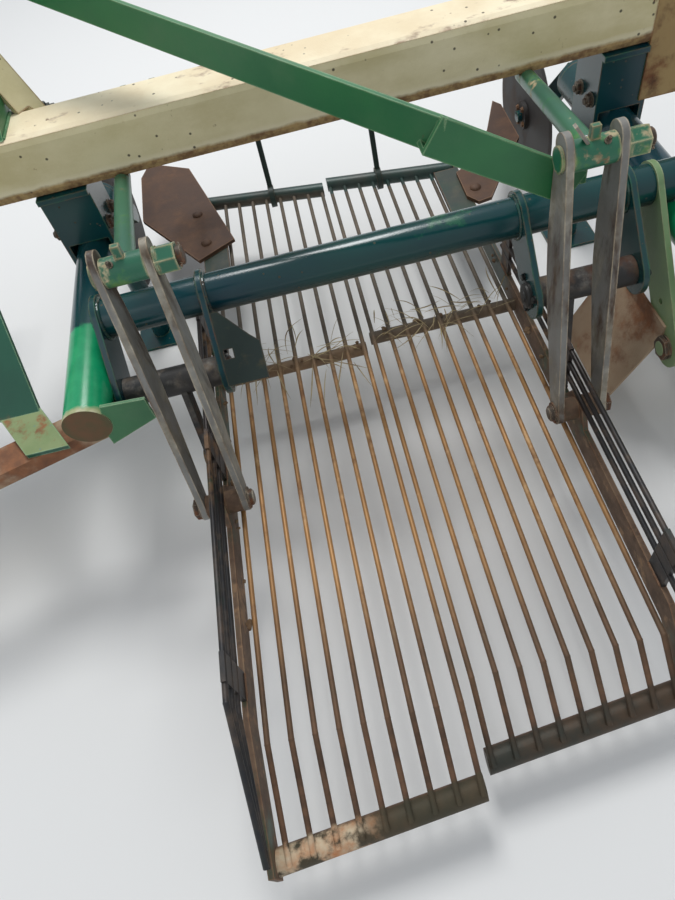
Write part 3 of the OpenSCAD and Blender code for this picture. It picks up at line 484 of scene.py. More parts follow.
        layer([edge(0.004, 0.72, 60.0)], rgb(206, 192, 164), second=rgb(120, 92, 66), rough=0.6)]},
    "castGrey": {"base": rgb(92, 96, 92), "second": rgb(76, 78, 74), "rough": 0.6, "metal": 0.2, "bump": 0.45,
        "layers": [
        layer([patch(16.0, 0.36, 0.06, 81.0)], rgb(96, 78, 58), second=rust["dark"], rough=0.8)]},
    "brightSteel": {"base": rgb(168, 166, 160), "second": rgb(140, 138, 132), "rough": 0.32, "metal": 0.9,
        "layers": [
        layer([patch(30.0, 0.3, 0.05, 91.0)], rgb(122, 92, 64), rough=0.6, metal=0.3)]},
    "boltSteel": {"base": rgb(82, 74, 64), "second": rgb(62, 52, 42), "toneScale": 30.0, "rough": 0.55,
        "metal": 0.4, "layers": [
        layer([patch(60.0, 0.45, 0.06, 85.0)], rust["mid"], second=rust["dark"], rough=0.8, metal=0.1),
        layer([edge(0.002, 0.7, 90.0)], rgb(170, 156, 134), rough=0.4)]},
    "blackSteel": {"base": rgb(26, 28, 28), "second": rgb(40, 40, 38), "rough": 0.45, "metal": 0.3,
        "layers": [
        layer([patch(34.0, 0.32, 0.05, 87.0)], rust["dark"], second=rust["mid"], rough=0.8)]},
    "dryGrass": {"base": rgb(178, 162, 122), "second": rgb(140, 122, 88), "toneScale": 40.0, "rough": 0.8,
        "bump": 0.1, "layers": [
        layer([patch(24.0, 0.3, 0.1, 89.0)], rgb(98, 78, 50))]},
    "drySoil": {"base": rgb(112, 88, 64), "second": rgb(86, 66, 48), "toneScale": 50.0, "rough": 0.95,
        "bump": 0.6, "broad": 1.2, "layers": [
        layer([patch(70.0, 0.4, 0.08, 93.0)], rgb(140, 116, 88))]},
    "tyreBlack": {"base": rgb(38, 37, 36), "second": rgb(50, 48, 46), "rough": 0.75, "bump": 0.3, "layers": [
        layer([patch(12.0, 0.42, 0.12, 95.0)], mud, rough=0.9, strength=0.55)]},
    "rimCream": {"base": rgb(206, 196, 142), "second": rgb(188, 176, 118), "rough": 0.5, "layers": [
        layer([patch(18.0, 0.38, 0.05, 99.0)], rust["mid"], second=rust["dark"], rough=0.85),
        layer([edge(0.004, 0.6, 60.0)], rust["mid"], second=rust["light"], rough=0.85)]},
}
paints = {name: makeFinish(name, values) for name, values in finishes.items()}
nodeFinish = {
    "beamCream": ["main_beam", "beam_cap_left", "mast_brace"],
    "endOchre": ["beam_bracket_right"],
    "tubeTeal": ["drop_brackets", "cross_tube", "lugs", "drive_tube", "stands", "coulter_arms"],
    "tubeTorn": ["side_tubes"], "sleeveGreen": ["pivot_supports"],
    "blackDust": ["rocker_left", "rocker_right"],
    "midGreen": ["mast_plates", "lower_links", "mast_stay", "link_bracket", "clod_guard_left"],
    "braceGreen": ["brace_plate_left"], "paleGreen": ["wheel_arm_right"],
    "wornGreen": ["sieve_side_left", "sieve_side_right"],
    "deepGreen": ["deflector_left", "front_link_left", "front_link_right"],
    "fenceDark": ["fence_left", "fence_right"],
    "rustySteel": ["wing_left", "wing_right"], "paleRust": ["rear_box_left", "clod_guard_right"],
    "discDarkWithPaintedShade": ["coulter_disc_left", "coulter_disc_right"],
    "rodTan": ["sieve_rods_left", "sieve_rods_right"],
    "hangerGrey": ["hanger_left", "hanger_right", "axle_left"],
    "castGrey": ["gearbox"], "brightSteel": ["stub_shaft"],
    "tyreBlack": ["tyre_left", "tyre_right"], "rimCream": ["rim_left", "rim_right"],
}


def dressNode(name, paint):
    # every slot of a CAD node's mesh takes the paint
    mesh = nodes[name].data
    if not mesh.materials:
        mesh.materials.append(paint)
    for k in range(len(mesh.materials)):
        mesh.materials[k] = paint


for paintName, members in nodeFinish.items():
    for member in members:
        dressNode(member, paints[paintName])
bare = sorted(set(nodes) - {m for members in nodeFinish.values() for m in members})
print("finishes placed; nodes without one:", bare)

# shapes worked out with grids and profiles, in millimetres of the unit's frame
def unit(v):
    return np.asarray(v, float) / np.linalg.norm(v)


def sideAxes(direction):
    # two axes across a direction: u is level where it can be, w = direction x u
    d = unit(direction)
    guide = np.array([0.0, 0.0, 1.0]) if abs(d[2]) < 0.9 else np.array([0.0, 1.0, 0.0])
    u = unit(np.cross(guide, d))
    return u, np.cross(d, u)


def ringFaces(rows, count, capped):
    # quads (i, j), (i, j+1), (i+1, j+1), (i+1, j) with j turning round, and a cap on each end
    i, j = np.meshgrid(np.arange(rows - 1), np.arange(count), indexing="ij")
    k = (j + 1) % count
    quads = np.stack([i * count + j, i * count + k, (i + 1) * count + k, (i + 1) * count + j], -1)
    faces = quads.reshape(-1, 4).tolist()
    if capped:
        faces.append(list(range(count))[::-1])
        faces.append([(rows - 1) * count + m for m in range(count)])
    return faces


def turned(place, direction, profile, sides=24, phase=0.0, capped=True):
    # point(i, a) = place + along_i * d + radius_i * (cos a * u + sin a * w)
    u, w = sideAxes(direction)
    a = np.linspace(0, 2 * math.pi, sides, endpoint=False) + phase
    around = np.cos(a)[:, None] * u + np.sin(a)[:, None] * w
    steps = np.array(profile, float)
    points = np.asarray(place, float) + steps[:, 0][:, None, None] * unit(direction)
    points = points + steps[:, 1][:, None, None] * around
    return points.reshape(-1, 3), ringFaces(len(steps), sides, capped)


def pathFrames(path):
    # tangents by central differences, and side axes carried along by taking out their part along the tangent
    path = np.asarray(path, float)
    tangent = np.gradient(path, axis=0)
    tangent /= np.linalg.norm(tangent, axis=1)[:, None]
    u, _ = sideAxes(tangent[0])
    sides = []
    for t in tangent:
        u = unit(u - t * np.dot(u, t))
        sides.append(u)
    sides = np.array(sides)
    return path, tangent, sides, np.cross(tangent, sides)


def swept(path, radii, count=10, flat=1.0):
    # point(i, a) = path_i + r_i * (cos a * u_i + flat * sin a * w_i)
    path, _, u, w = pathFrames(path)
    a = np.linspace(0, 2 * math.pi, count, endpoint=False)
    r = np.broadcast_to(np.asarray(radii, float), (len(path),))
    points = path[:, None] + r[:, None, None] * (np.cos(a)[:, None] * u[:, None]
                                                 + flat * np.sin(a)[:, None] * w[:, None])
    return points.reshape(-1, 3), ringFaces(len(path), count, True)


# welds, as shares of their radius and in millimetres along the path
weldForm = {"step": 2.5, "leastSteps": 8, "shake": 0.07, "level": 0.85, "ripple": 0.2, "pitch": 5.0,
            "rough": 0.05, "end": 0.4, "sides": 7}
# bolts, as shares of their size
boltForm = {"washer": [(0, 1.15), (0.16, 1.15), (0.18, 1.05), (0.18, 0.4)], "seat": 0.18, "across": 1.65,
            "high": 0.68, "top": 0.86, "from": 0.8, "shank": 0.5, "chamfer": 0.42}


def bead(path, radius, seed=0):
    # a weld: radius * (level + ripple |sin(pi s / pitch)| + noise) along the length s, on a shaken path
    path = np.asarray(path, float)
    s = np.concatenate([[0], np.cumsum(np.linalg.norm(np.diff(path, axis=0), axis=1))])
    steps = max(weldForm["leastSteps"], int(s[-1] / weldForm["step"]))
    t = np.linspace(0, s[-1], steps)
    fine = np.stack([np.interp(t, s, path[:, k]) for k in range(3)], 1)
    rng = np.random.default_rng(abs(seed))
    fine += rng.normal(0, radius * weldForm["shake"], fine.shape)
    ripple = weldForm["ripple"] * np.abs(np.sin(math.pi * t / weldForm["pitch"]))
    r = radius * (weldForm["level"] + ripple + rng.normal(0, weldForm["rough"], steps))
    r[0] *= weldForm["end"]
    r[-1] *= weldForm["end"]
    return swept(fine, r, weldForm["sides"])


def circlePath(place, direction, radius, start=0.0, end=360.0, count=40):
    # place + radius * (cos a * u + sin a * w)
    u, w = sideAxes(direction)
    a = np.radians(np.linspace(start, end, count))
    return np.asarray(place, float) + radius * (np.cos(a)[:, None] * u + np.sin(a)[:, None] * w)


def hexHead(place, direction, across, high, phase=0.0):
    # six sides of radius across / sqrt 3, with the corners of both ends turned down to a cone
    r = across / math.sqrt(3)
    return turned(place, direction, [(0, r * 0.94), (high * 0.12, r), (high * 0.86, r), (high, r * 0.88),
                                     (high, 0.5)], 6, phase)


def bolt(place, direction, size, seed=0, thread=0.0):
    # washer, hexagon head or nut, and the end of the thread that stands past it
    d = unit(direction)
    p = np.asarray(place, float)
    form = boltForm
    parts = [turned(p, d, [(size * along, size * r) for along, r in form["washer"]], 20)]
    foot = p + d * size * form["seat"]
    parts.append(hexHead(foot, d, size * form["across"], size * form["high"], seed * 0.7))
    if thread:
        top = size * form["top"] + thread
        shank = size * form["shank"]
        end = [(size * form["from"], shank), (top - 1, shank), (top, size * form["chamfer"]), (top, 0.3)]
        parts.append(turned(p, d, end, 14))
    return parts


def roundHead(place, direction, size):
    # a mushroom head: radius size * cos(t), height 0.55 * size * sin(t)
    t = np.radians(np.linspace(0, 88, 7))
    profile = [(-0.5, size)] + [(0.55 * size * math.sin(x), size * math.cos(x)) for x in t]
    return turned(place, direction, profile, 20)


def plateShape(corners, thickness, direction):
    # a flat outline moved by its thickness along a direction
    low = np.asarray(corners, float)
    high = low + unit(direction) * thickness
    return np.concatenate([low, high]), ringFaces(2, len(low), True)


def addPiece(name, body, parts, paint, smooth=40.0):
    # all parts become one object at the origin; edges sharper than smooth degrees stay sharp
    verts, faces, start = [], [], 0
    for points, polygons in parts:
        verts.append(at(points))
        faces += [[k + start for k in f] for f in polygons]
        start += len(points)
    mesh = bpy.data.meshes.new(name)
    mesh.from_pydata(np.concatenate(verts).tolist(), [], faces)
    mesh.update()
    mesh.validate()
    mesh.polygons.foreach_set("use_smooth", [True] * len(mesh.polygons))
    mesh.set_sharp_from_angle(angle=math.radians(smooth))
    mesh.materials.append(paints[paint])
    made = bpy.data.objects.new(name, mesh)
    bpy.context.scene.collection.objects.link(made)
    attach(made, body)
    return made


sides = {"left": -1.0, "right": 1.0}
swingPin = {side: jointPlace("swing_" + side) for side in sides}
lowPin = {side: jointPlace("sieve_" + side + "_level") for side in sides}
rockerPin = {side: jointPlace("rocker_" + side + "_swing") for side in sides}
linkPin = {side: jointPlace("link_" + side + "_swing") for side in sides}
wheelPin = {side: jointPlace("wheel_" + side + "_spin") for side in sides}
discPin = {side: jointPlace("disc_" + side + "_spin") for side in sides}
inputPin = jointPlace("input_spin")

# Turned profiles below are lists of (distance along the axis, radius).
# wheels: tyres with ribs, rim bolts and hubs
tyre = {"radius": 226.0, "half": 65.0, "rim": 125.0, "grooves": (-33.0, -11.0, 11.0, 33.0), "depth": 7.0,
        "grooveWidth": 2.4, "grooveEdge": 1.6, "crown": 3.0, "treadIn": 20, "notch": 5.0, "notchAt": 14,
        "notchWidth": 7.0, "lugs": 42, "lugLevel": 0.55, "around": 168, "across": 33,
        "wall": [(14, 0), (8, 6), (5, 22)], "shoulder": [(1, 50), (0, 36), (2, 24), (8, 12), (15, 5)]}
rim = {"face": 6.0, "bolts": 5, "circle": 62.0, "bolt": 12, "thread": 4, "hub": 38, "bead": 3.0,
       "valveAt": 92.0, "dome": [(44, 37), (48, 37), (52, 34), (58, 30), (62, 22), (63.5, 8), (63.5, 0.5)],
       "valve": [(0, 5), (6, 5), (8, 4), (24, 3.6), (25, 4.4), (33, 4.4), (34, 1)]}
disc = {"face": 14.0, "bolts": 4, "circle": 27.0, "bolt": 7}


def tyreShape(place, values):
    # radius(w, a) = profile(w) - depth * groove(w) - notch * lug(a) on the shoulder; a turns round the X axis
    r, half, inner = values["radius"], values["half"], values["rim"]
    # wall holds steps (in from the side, out from the rim), shoulder (in from the side, in from the tread)
    across = [(-half + q, inner + up) for q, up in values["wall"]]
    across += [(-half + q, r - down) for q, down in values["shoulder"]]
    flat = half - values["treadIn"]
    tread = np.linspace(-flat, flat, values["across"])
    level = r - 0.5 - values["crown"] * (tread / flat) ** 4
    for groove in values["grooves"]:
        near = values["grooveEdge"] - np.abs(tread - groove) / values["grooveWidth"]
        level -= values["depth"] * np.clip(near, 0, 1)
    rows = across + list(zip(tread, level)) + [(-w, q) for w, q in across[::-1]]
    rows = np.array(rows)
    a = np.linspace(0, 2 * math.pi, values["around"], endpoint=False)
    lug = (np.sin(a * values["lugs"]) > values["lugLevel"]).astype(float)
    shoulder = np.exp(-((np.abs(rows[:, 0]) - (half - values["notchAt"])) / values["notchWidth"]) ** 2)
    radius = rows[:, 1][:, None] - values["notch"] * shoulder[:, None] * lug[None, :]
    x = np.broadcast_to(rows[:, 0][:, None], radius.shape)
    points = np.stack([x, radius * np.cos(a), radius * np.sin(a)], -1) + np.asarray(place)
    return points.reshape(-1, 3), ringFaces(len(rows), len(a), False)


def rimParts(place, side, values):
    # bolts at circle * (cos, sin) round the hub, a domed cap on the outer end and a valve stem
    p = np.asarray(place)
    out = np.array([side, 0.0, 0.0])
    face = p + out * values["face"]
    parts = []
    for k in range(values["bolts"]):
        a = 2 * math.pi * k / values["bolts"] + 0.3
        spot = face + values["circle"] * np.array([0, math.cos(a), math.sin(a)])
        parts += bolt(spot, out, values["bolt"], k, values["thread"])
    parts.append(turned(p, out, values["dome"], 32))
    parts.append(bead(circlePath(face + out, out, values["hub"]), values["bead"], 3))
    stem = face + np.array([0, 0, values["valveAt"]])
    parts.append(turned(stem, unit((side, 0, -0.5)), values["valve"], 12))
    return parts


def discBolts(place, values):
    # bolts at circle * (cos, sin) on both faces of the disc's hub
    parts = []
    for k in range(values["bolts"]):
        turn = 2 * math.pi * k / values["bolts"] + 0.5
        for face in (-1, 1):
            spot = place + np.array([face * values["face"], values["circle"] * math.cos(turn),
                                     values["circle"] * math.sin(turn)])
            parts += bolt(spot, (face, 0, 0), values["bolt"], k)
    return parts


for side, sign in sides.items():
    tread = tyreShape(wheelPin[side], tyre)
    cover = addPiece("tread_" + side, "wheel_" + side, [tread], "tyreBlack")
    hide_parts("tyre_" + side)
    hub = rimParts(wheelPin[side], sign, rim)
    addPiece("rim_bolts_" + side, "wheel_" + side, hub, "rimCream")
    studs = discBolts(discPin[side], disc)
    addPiece("disc_bolts_" + side, "disc_" + side, studs, "rustySteel")
print("wheels and discs dressed")

# hangers: nuts and washers on the lower pins, the pins' caps on top and the sleeve's welds
hanger = {"outer": 47.0, "across": 36.0, "nutHigh": 11.5,
          "washer": [(0, 22), (2.6, 22), (3, 21), (3, 10)],
          "cap": [(3, 16.5), (8, 16.5), (10, 15), (10, 0.5)]}
sleeve = {"half": 34.5, "top": 22, "nippleAt": 16, "end": [(-2, 15), (8, 15), (10, 13), (10, 0.5)],
          "nipple": [(0, 5.5), (3, 5.5), (3.2, 3.4), (7, 3.2), (8, 4.0), (11, 3.4), (13, 2.0), (13.4, 0.4)],
          "pin": [(4, -19, -6), (4, 0, -1), (4, 21, 7)], "pinRadius": 2.2}
strut = {"foot": (434.0, 603.0, 557.0), "skin": 17.5, "sleeve": 24.0, "bead": 3.6}


def hangerParts(side, sign, values):
    # on each arm's outer face at the lower pin: a washer, and a hexagon nut outside or a cap inside
    parts = []
    for face in (-1.0, 1.0):
        d = np.array([face, 0, 0])
        spot = lowPin[side] + d * values["outer"]
        parts.append(turned(spot, d, values["washer"], 28))
        if face == sign:
            parts.append(hexHead(spot + d * 2.6, d, values["across"], values["nutHigh"], 0.4))
        else:
            parts.append(turned(spot, d, values["cap"], 24))
    return parts


def sleeveParts(side, sign, values):
    # a grease nipple on top, the pin's end past the nut and the split pin through it
    p = swingPin[side]
    lift = unit((0, -0.5, 0.86))
    nippleFoot = p + lift * values["top"] + np.array([sign * values["nippleAt"], 0, 0])
    pinEnd = p + np.array([values["half"] + hanger["outer"], 0, 0])
    return [turned(nippleFoot, lift, values["nipple"], 10), turned(pinEnd, (1, 0, 0), values["end"], 20),
            swept(pinEnd + np.array(values["pin"]), values["pinRadius"], 8)]


def strutBead(side, sign, values):
    # where the strut runs out of the sleeve: points of the strut's skin at the sleeve's skin
    p = swingPin[side]
    run = unit(np.array(values["foot"]) * (sign, 1.0, 1.0) - p)
    u, w = sideAxes(run)
    path = []
    for a in np.linspace(0, 2 * math.pi, 40):
        skin = values["skin"] * (math.cos(a) * u + math.sin(a) * w)
        # the length t along the strut at which the point p + skin + t run is at the sleeve's radius
        c = skin[1:]
        d = run[1:]
        b = np.dot(c, d)
        root = b * b - np.dot(d, d) * (np.dot(c, c) - values["sleeve"] ** 2)
        t = (-b + math.sqrt(max(root, 0.0))) / np.dot(d, d)
        path.append(p + skin + run * max(t, 2.0))
    return bead(path, values["bead"], 5)


for side, sign in sides.items():
    addPiece("lower_nuts_" + side, "hang_" + side, hangerParts(side, sign, hanger), "boltSteel")
    addPiece("pivot_trim_" + side, "frame_body", sleeveParts(side, sign, sleeve), "boltSteel")
    addPiece("strut_weld_" + side, "frame_body", [strutBead(side, sign, strut)], "tubeTeal")

# the tan tab that leans on the right sleeve
tab = {"foot": (346.0, 96.0, 711.0), "head": (323.0, 92.0, 744.0), "width": 13.0, "taper": 0.8, "thick": 5.0,
       "facing": (0.8, 0, 0.55)}
tabFoot, tabHead = np.array(tab["foot"]), np.array(tab["head"])
across = np.array([0, tab["width"] / 2, 0])
narrow = across * tab["taper"]
tabOutline = [tabFoot - across, tabFoot + across, tabHead + narrow, tabHead - narrow]
leaning = plateShape(tabOutline, tab["thick"], tab["facing"])
addPiece("leaning_tab", "frame_body", [leaning], "hangerGrey")
print("hangers dressed")

# frame: welds, the rocker shafts' caps, wheel arm and bracket bolts
cross = {"y": 275.0, "z": 467.0, "radius": 38.0, "tube": 44.5, "tubeZ": 405.0, "tubeX": 640.0,
         "lugs": (-300.0, -507.5, 319.0, 523.0), "lugHalf": 6.0, "bead": 3.6, "seam": 4.0}
rockerCap = {"out": 6.2, "circle": 36, "bolts": 3, "bolt": 7, "wide": 400,
             "dish": [(0, 27), (4, 27), (5, 25), (9, 24), (10, 22), (10, 12), (13, 11), (13, 0.5)]}
armBolt = {"place": (575.5, 72.0, 226.0), "out": 6.2, "washer": [(0, 25), (3, 25), (3.2, 15.2)], "across": 44,
           "high": 10, "weld": 19.5, "bead": 3.5}
bracket = {"beams": (-558.0, 640.0), "reach": 49.9, "web": 4.9, "rows": (590.0, 648.0), "z": 470.0,
           "bolt": 14, "thread": 5, "end": 679}


def frameWelds(values):
    # rings round the cross tube on both faces of each lug, and the seam where its end sits on a side tube
    parts = []
    for k, x in enumerate(values["lugs"]):
        for face in (-1, 1):
            ring = circlePath((x + face * (values["lugHalf"] + 0.5), values["y"], values["z"]), (1, 0, 0),
                              values["radius"] + 2.0, 0, 356)
            parts.append(bead(ring, values["bead"], k * 2 + face))
    seam = []
    low = math.degrees(math.asin((values["z"] - values["tubeZ"] - values["tube"]) / values["radius"]))
    for a in np.radians(np.linspace(180 + low, 360 - low, 40)):
        y = values["y"] + (values["radius"] + 1.5) * math.cos(a)
        z = values["z"] + (values["radius"] + 1.5) * math.sin(a)
        gap = z - values["tubeZ"]
        seam.append((values["tubeX"] - math.sqrt(max(values["tube"] ** 2 - gap * gap, 1.0)), y, z))
    parts.append(bead(seam, values["seam"], 11))
    return parts


addPiece("frame_welds", "frame_body", frameWelds(cross), "tubeTeal")


def rockerCaps(side, sign, values):
    # on the outer face of each outer lug and the inner face of each inner one: a dish and bolts round it
    parts = []
    p = rockerPin[side]
    for x in [v for v in cross["lugs"] if v * sign > 0]:
        face = sign if abs(x) > values["wide"] else -sign
        spot = np.array([x + face * values["out"], p[1], p[2]])
        parts.append(turned(spot, (face, 0, 0), values["dish"], 32))
        for k in range(values["bolts"]):
            a = 2 * math.pi * k / values["bolts"] + 0.6
            around = values["circle"] * np.array([0, math.cos(a), math.sin(a)])
            parts += bolt(spot + around, (face, 0, 0), values["bolt"], k)
    return parts


def wheelArmParts(values):
    # a washer and a hexagon head on the arm's inner face, and a weld ring on its outer face
    place = np.array(values["place"])
    washer = turned(place - (values["out"], 0, 0), (-1, 0, 0), values["washer"], 28)
    nut = hexHead(place - (values["out"] + 3.2, 0, 0), (-1, 0, 0), values["across"], values["high"], 0.2)
    ring = circlePath(place + (values["out"] + 0.4, 0, 0), (1, 0, 0), values["weld"], 0, 356)
    return [washer, nut, bead(ring, values["bead"], 2)]


def bracketBolts(values):
    # two bolts through each web of the drop brackets, apart from the web past the beam's end
    parts = []
    for x in values["beams"]:
        for face in (-1.0, 1.0):
            spotX = x + face * values["reach"]
            if spotX > values["end"]:
                continue
            for y in values["rows"]:
                spot = (spotX + face * values["web"], y, values["z"])
                parts += bolt(spot, (face, 0, 0), values["bolt"], 3, values["thread"])
    return parts


for side, sign in sides.items():
    caps = rockerCaps(side, sign, rockerCap)
    addPiece("rocker_caps_" + side, "frame_body", caps, "blackSteel")
addPiece("wheel_arm_trim", "frame_body", wheelArmParts(armBolt), "boltSteel")
addPiece("bracket_bolts", "frame_body", bracketBolts(bracket), "boltSteel")

# sieve halves: bolts through the wings, welds at the posts and the side bars
def halfOrigin(side):
    # a half's own origin: under its lower pin, level with its rods' middles
    return np.array([0.0, lowPin[side][1], lowPin[side][2] - 36.0])


sieve = {"wingBolts": {"left": ((352, 836), (370, 973)), "right": ((380, 765), (432, 835))}, "up": 22.0,
         "wing": 10.0, "head": 15.0, "posts": (-383.0, 62.0, 422.0), "post": 48.0, "side": 360.0,
         "sideHalf": 5.0, "bead": 2.6}


def sieveTrim(side, sign, values):
    # round heads on the wing, and a bead along both sides of each foot of the fence's posts
    origin = halfOrigin(side)
    parts = []
    for x, y in values["wingBolts"][side]:
        top = origin + np.array([sign * x, y, values["up"] + values["wing"]])
        parts.append(roundHead(top, (0, 0, 1), values["head"]))
    for y in values["posts"]:
        for face in (-1, 1):
            x = sign * values["side"] + face * values["sideHalf"]
            line = [origin + np.array([x, y + q, values["up"] + 0.6]) for q in (1.0, values["post"] - 1.0)]
            parts.append(bead(line, values["bead"], int(y) % 7 + face))
    return parts


for side, sign in sides.items():
    addPiece("sieve_trim_" + side, "half_" + side, sieveTrim(side, sign, sieve), "rustySteel")

# front links: split pins and washers on their upper pins
link = {"x": 154.0, "half": 19.2, "washer": [(0, 14), (2.5, 14), (2.6, 8.2)],
        "pin": [(2.2, -6, -12), (2.4, 0, 0), (2.2, 5, 13)], "pinRadius": 1.6}


def linkTrim(side, sign, values):
    # on both faces of the lug: a washer, and a split pin bent through the pin's end
    parts = []
    for face in (-1.0, 1.0):
        spot = np.array([sign * values["x"] + face * values["half"], linkPin[side][1], linkPin[side][2]])
        parts.append(turned(spot, (face, 0, 0), values["washer"], 20))
        parts.append(swept(spot + np.array(values["pin"]) * (face, 1.0, 1.0), values["pinRadius"], 6))
    return parts


for side, sign in sides.items():
    addPiece("link_trim_" + side, "frame_body", linkTrim(side, sign, link), "boltSteel")
print("frame and sieve dressed")

# gearbox and input shaft
gear = {"x": -650.0, "y": 686.0, "z": 578.0, "half": 85.0, "long": 150.0, "high": 54.0, "inset": 8, "lid": 7,
        "lidBolt": 9, "boltInset": 20, "flangeBolt": 7, "flangeCircle": 36, "ribs": (40, 75, 110), "rib": 7,
        "plug": [(0, 13), (5, 13), (6, 9), (14, 8.4), (15, 7), (15, 0.5)],
        "flange": [(0, 46), (8, 46), (9.5, 44.5), (9.5, 24), (14, 22.5), (14, 19)], "flangeFace": 9.5}


def gearboxTrim(values):
    # a lid with six bolts and a filler plug on top, a flange round the shaft and ribs on both sides
    x, y, z = values["x"], values["y"], values["z"]
    high, half, deep = values["high"], values["half"], values["long"]
    parts = []
    inset, margin = values["inset"], values["boltInset"]
    top = z + high + values["lid"]
    corners = [(x - half + inset, y + inset, z + high), (x + half - inset, y + inset, z + high),
               (x + half - inset, y + deep - inset, z + high), (x - half + inset, y + deep - inset, z + high)]
    parts.append(plateShape(corners, values["lid"], (0, 0, 1)))
    for px in (margin - half, 0, half - margin):
        for py in (margin, deep - margin):
            parts += bolt((x + px, y + py, top), (0, 0, 1), values["lidBolt"], int(px) % 5)
    parts.append(turned((x + 30, y + deep / 2, top), (0, 0, 1), values["plug"], 20))
    parts.append(turned((x, y + deep, z), (0, 1, 0), values["flange"], 40, 0.0, False))
    for k in range(6):
        a = math.pi * k / 3 + 0.5
        spot = (x + values["flangeCircle"] * math.cos(a), y + deep + values["flangeFace"],
                z + values["flangeCircle"] * math.sin(a))
        parts += bolt(spot, (0, 1, 0), values["flangeBolt"], k)
    for face in (-1, 1):
        for py in values["ribs"]:
            wall = x + face * half
            ridge = [(wall, y + py - 3, z - high + 4), (wall, y + py + 3, z - high + 4),
                     (wall, y + py + 3, z + high - 6), (wall, y + py - 3, z + high - 6)]
            parts.append(plateShape(ridge, values["rib"], (face, 0, 0)))
    return parts


addPiece("gearbox_trim", "frame_body", gearboxTrim(gear), "castGrey", 30.0)

# stations along the shaft: 0 splined, 1 full round, 2 in the lock's groove, 3 the chamfer at the end
shaft = {"root": 14.4, "top": 17.45, "splines": 6, "around": 120, "lock": 15.2, "chamfer": 2.2,
         "stations": [(0, 1), (8, 1), (14, 0), (56, 0), (58, 0), (60, 2), (64, 2), (66, 0), (86, 0), (90, 3)]}


def splinedShaft(values):
    # radius(s, a) = top where cos(splines a) > -0.25, else root, with a groove for the yoke's lock
    p = inputPin
    a = np.linspace(0, 2 * math.pi, values["around"], endpoint=False)
    tooth = np.clip((np.cos(a * values["splines"]) + 0.25) * 5 + 0.5, 0, 1)
    rings = []
    for s, kind in values["stations"]:
        full = np.full(len(a), values["top"])
        cut = values["root"] + (values["top"] - values["root"]) * tooth
        r = (cut, full, np.minimum(cut, values["lock"]), cut - values["chamfer"])[kind]
        rings.append(np.stack([p[0] + r * np.cos(a), np.full(len(a), p[1] + s), p[2] - r * np.sin(a)], 1))
    points = np.concatenate(rings)
    return points, ringFaces(len(values["stations"]), len(a), True)


splines = addPiece("splined_shaft", "input", [splinedShaft(shaft)], "brightSteel")
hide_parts("stub_shaft")

# headstock: collars and lynch pins on the lower pins, welds at the feet of the mast
head = {"x": -650.0, "reach": 341.5, "y": 980.0, "z": 430.0,
        "collar": [(0.2, 21), (7, 21), (8, 20), (8, 11.2)],
        "lynchAt": 78, "nutAt": 72, "across": 34, "nutHigh": 15}
lynch = {"low": 22, "stem": [(0, 3), (1, 4.2), (42, 4.2), (43, 6.5), (50, 6.5), (52, 4)], "top": 27,
         "ring": 17, "wire": 1.8, "tilt": (0.55, 0.0, 0.84)}
mastWeld = {"faces": ((-690.0, -1.0), (-676.0, 1.0), (-624.0, -1.0), (-610.0, 1.0)),
            "from": 574.0, "to": 682.0, "z": 700.8, "bead": 3.6}


def lynchPin(place, out, values):
    # a short pin through the link pin and a ring that folds over its end: place + ring * (cos a, 1 - sin a)
    p = np.asarray(place, float)
    stem = turned(p - (0, 0, values["low"]), (0, 0, 1), values["stem"], 12)
    tilt = unit(np.array(values["tilt"]) * (out, 1.0, 1.0))
    a = np.radians(np.linspace(0, 360, 33))[:, None]
    ring = p + (0, 0, values["top"]) + values["ring"] * (np.cos(a) * (0, 1, 0) - (1 - np.sin(a)) * tilt * 0.9)
    return [stem, swept(ring, values["wire"], 8)]


def linkPins(values):
    # at each end of the headstock: a collar, a lynch pin and a nut on the inner face
    parts = []
    for sign in (-1.0, 1.0):
        x, y, z = values["x"] + sign * values["reach"], values["y"], values["z"]
        d = np.array([sign, 0, 0])
        parts.append(turned((x, y, z), d, values["collar"], 28))
        parts += lynchPin((x + sign * values["lynchAt"], y, z), sign, lynch)
        nutPlace = (x - sign * values["nutAt"], y, z)
        parts.append(hexHead(nutPlace, -d, values["across"], values["nutHigh"], 0.3))
    return parts


def mastWelds(values):
    # a bead along the foot of each face of the mast's plates
    parts = []
    for x, face in values["faces"]:
        line = [(x + face * 0.8, y, values["z"]) for y in (values["from"], values["to"])]
        parts.append(bead(line, values["bead"], int(-x) % 9))
    return parts


addPiece("link_pins", "frame_body", linkPins(head), "boltSteel")
addPiece("mast_welds", "frame_body", mastWelds(mastWeld), "midGreen")
print("headstock and drive dressed")

# dry grass caught on the cross bars, and soil in the corners
straw = {"blades": 46, "seed": 4, "length": (40.0, 130.0), "width": (0.7, 1.7),
         "rise": (2, 14), "sag": (0, 18), "reach": (20, 320), "bar": 367, "spread": 22, "clear": 12.0}
soil = {"seed": 3, "foot": 16, "footX": (343, 352), "footY": (-380, 900), "footSize": (3, 8),
        "bar": 10, "barX": (20, 340), "barY": 367, "barHalf": 15, "barSize": (3, 7)}
bladeForm = {"points": 12, "tilt": 0.6, "sway": 0.12, "bends": (2.0, 5.0), "half": 0.35, "start": 0.08,
             "share": 0.9}
lumpForm = {"around": 14, "rows": 9, "pole": 0.08, "waves": (0.16, 0.12, 0.1), "flat": 0.55}


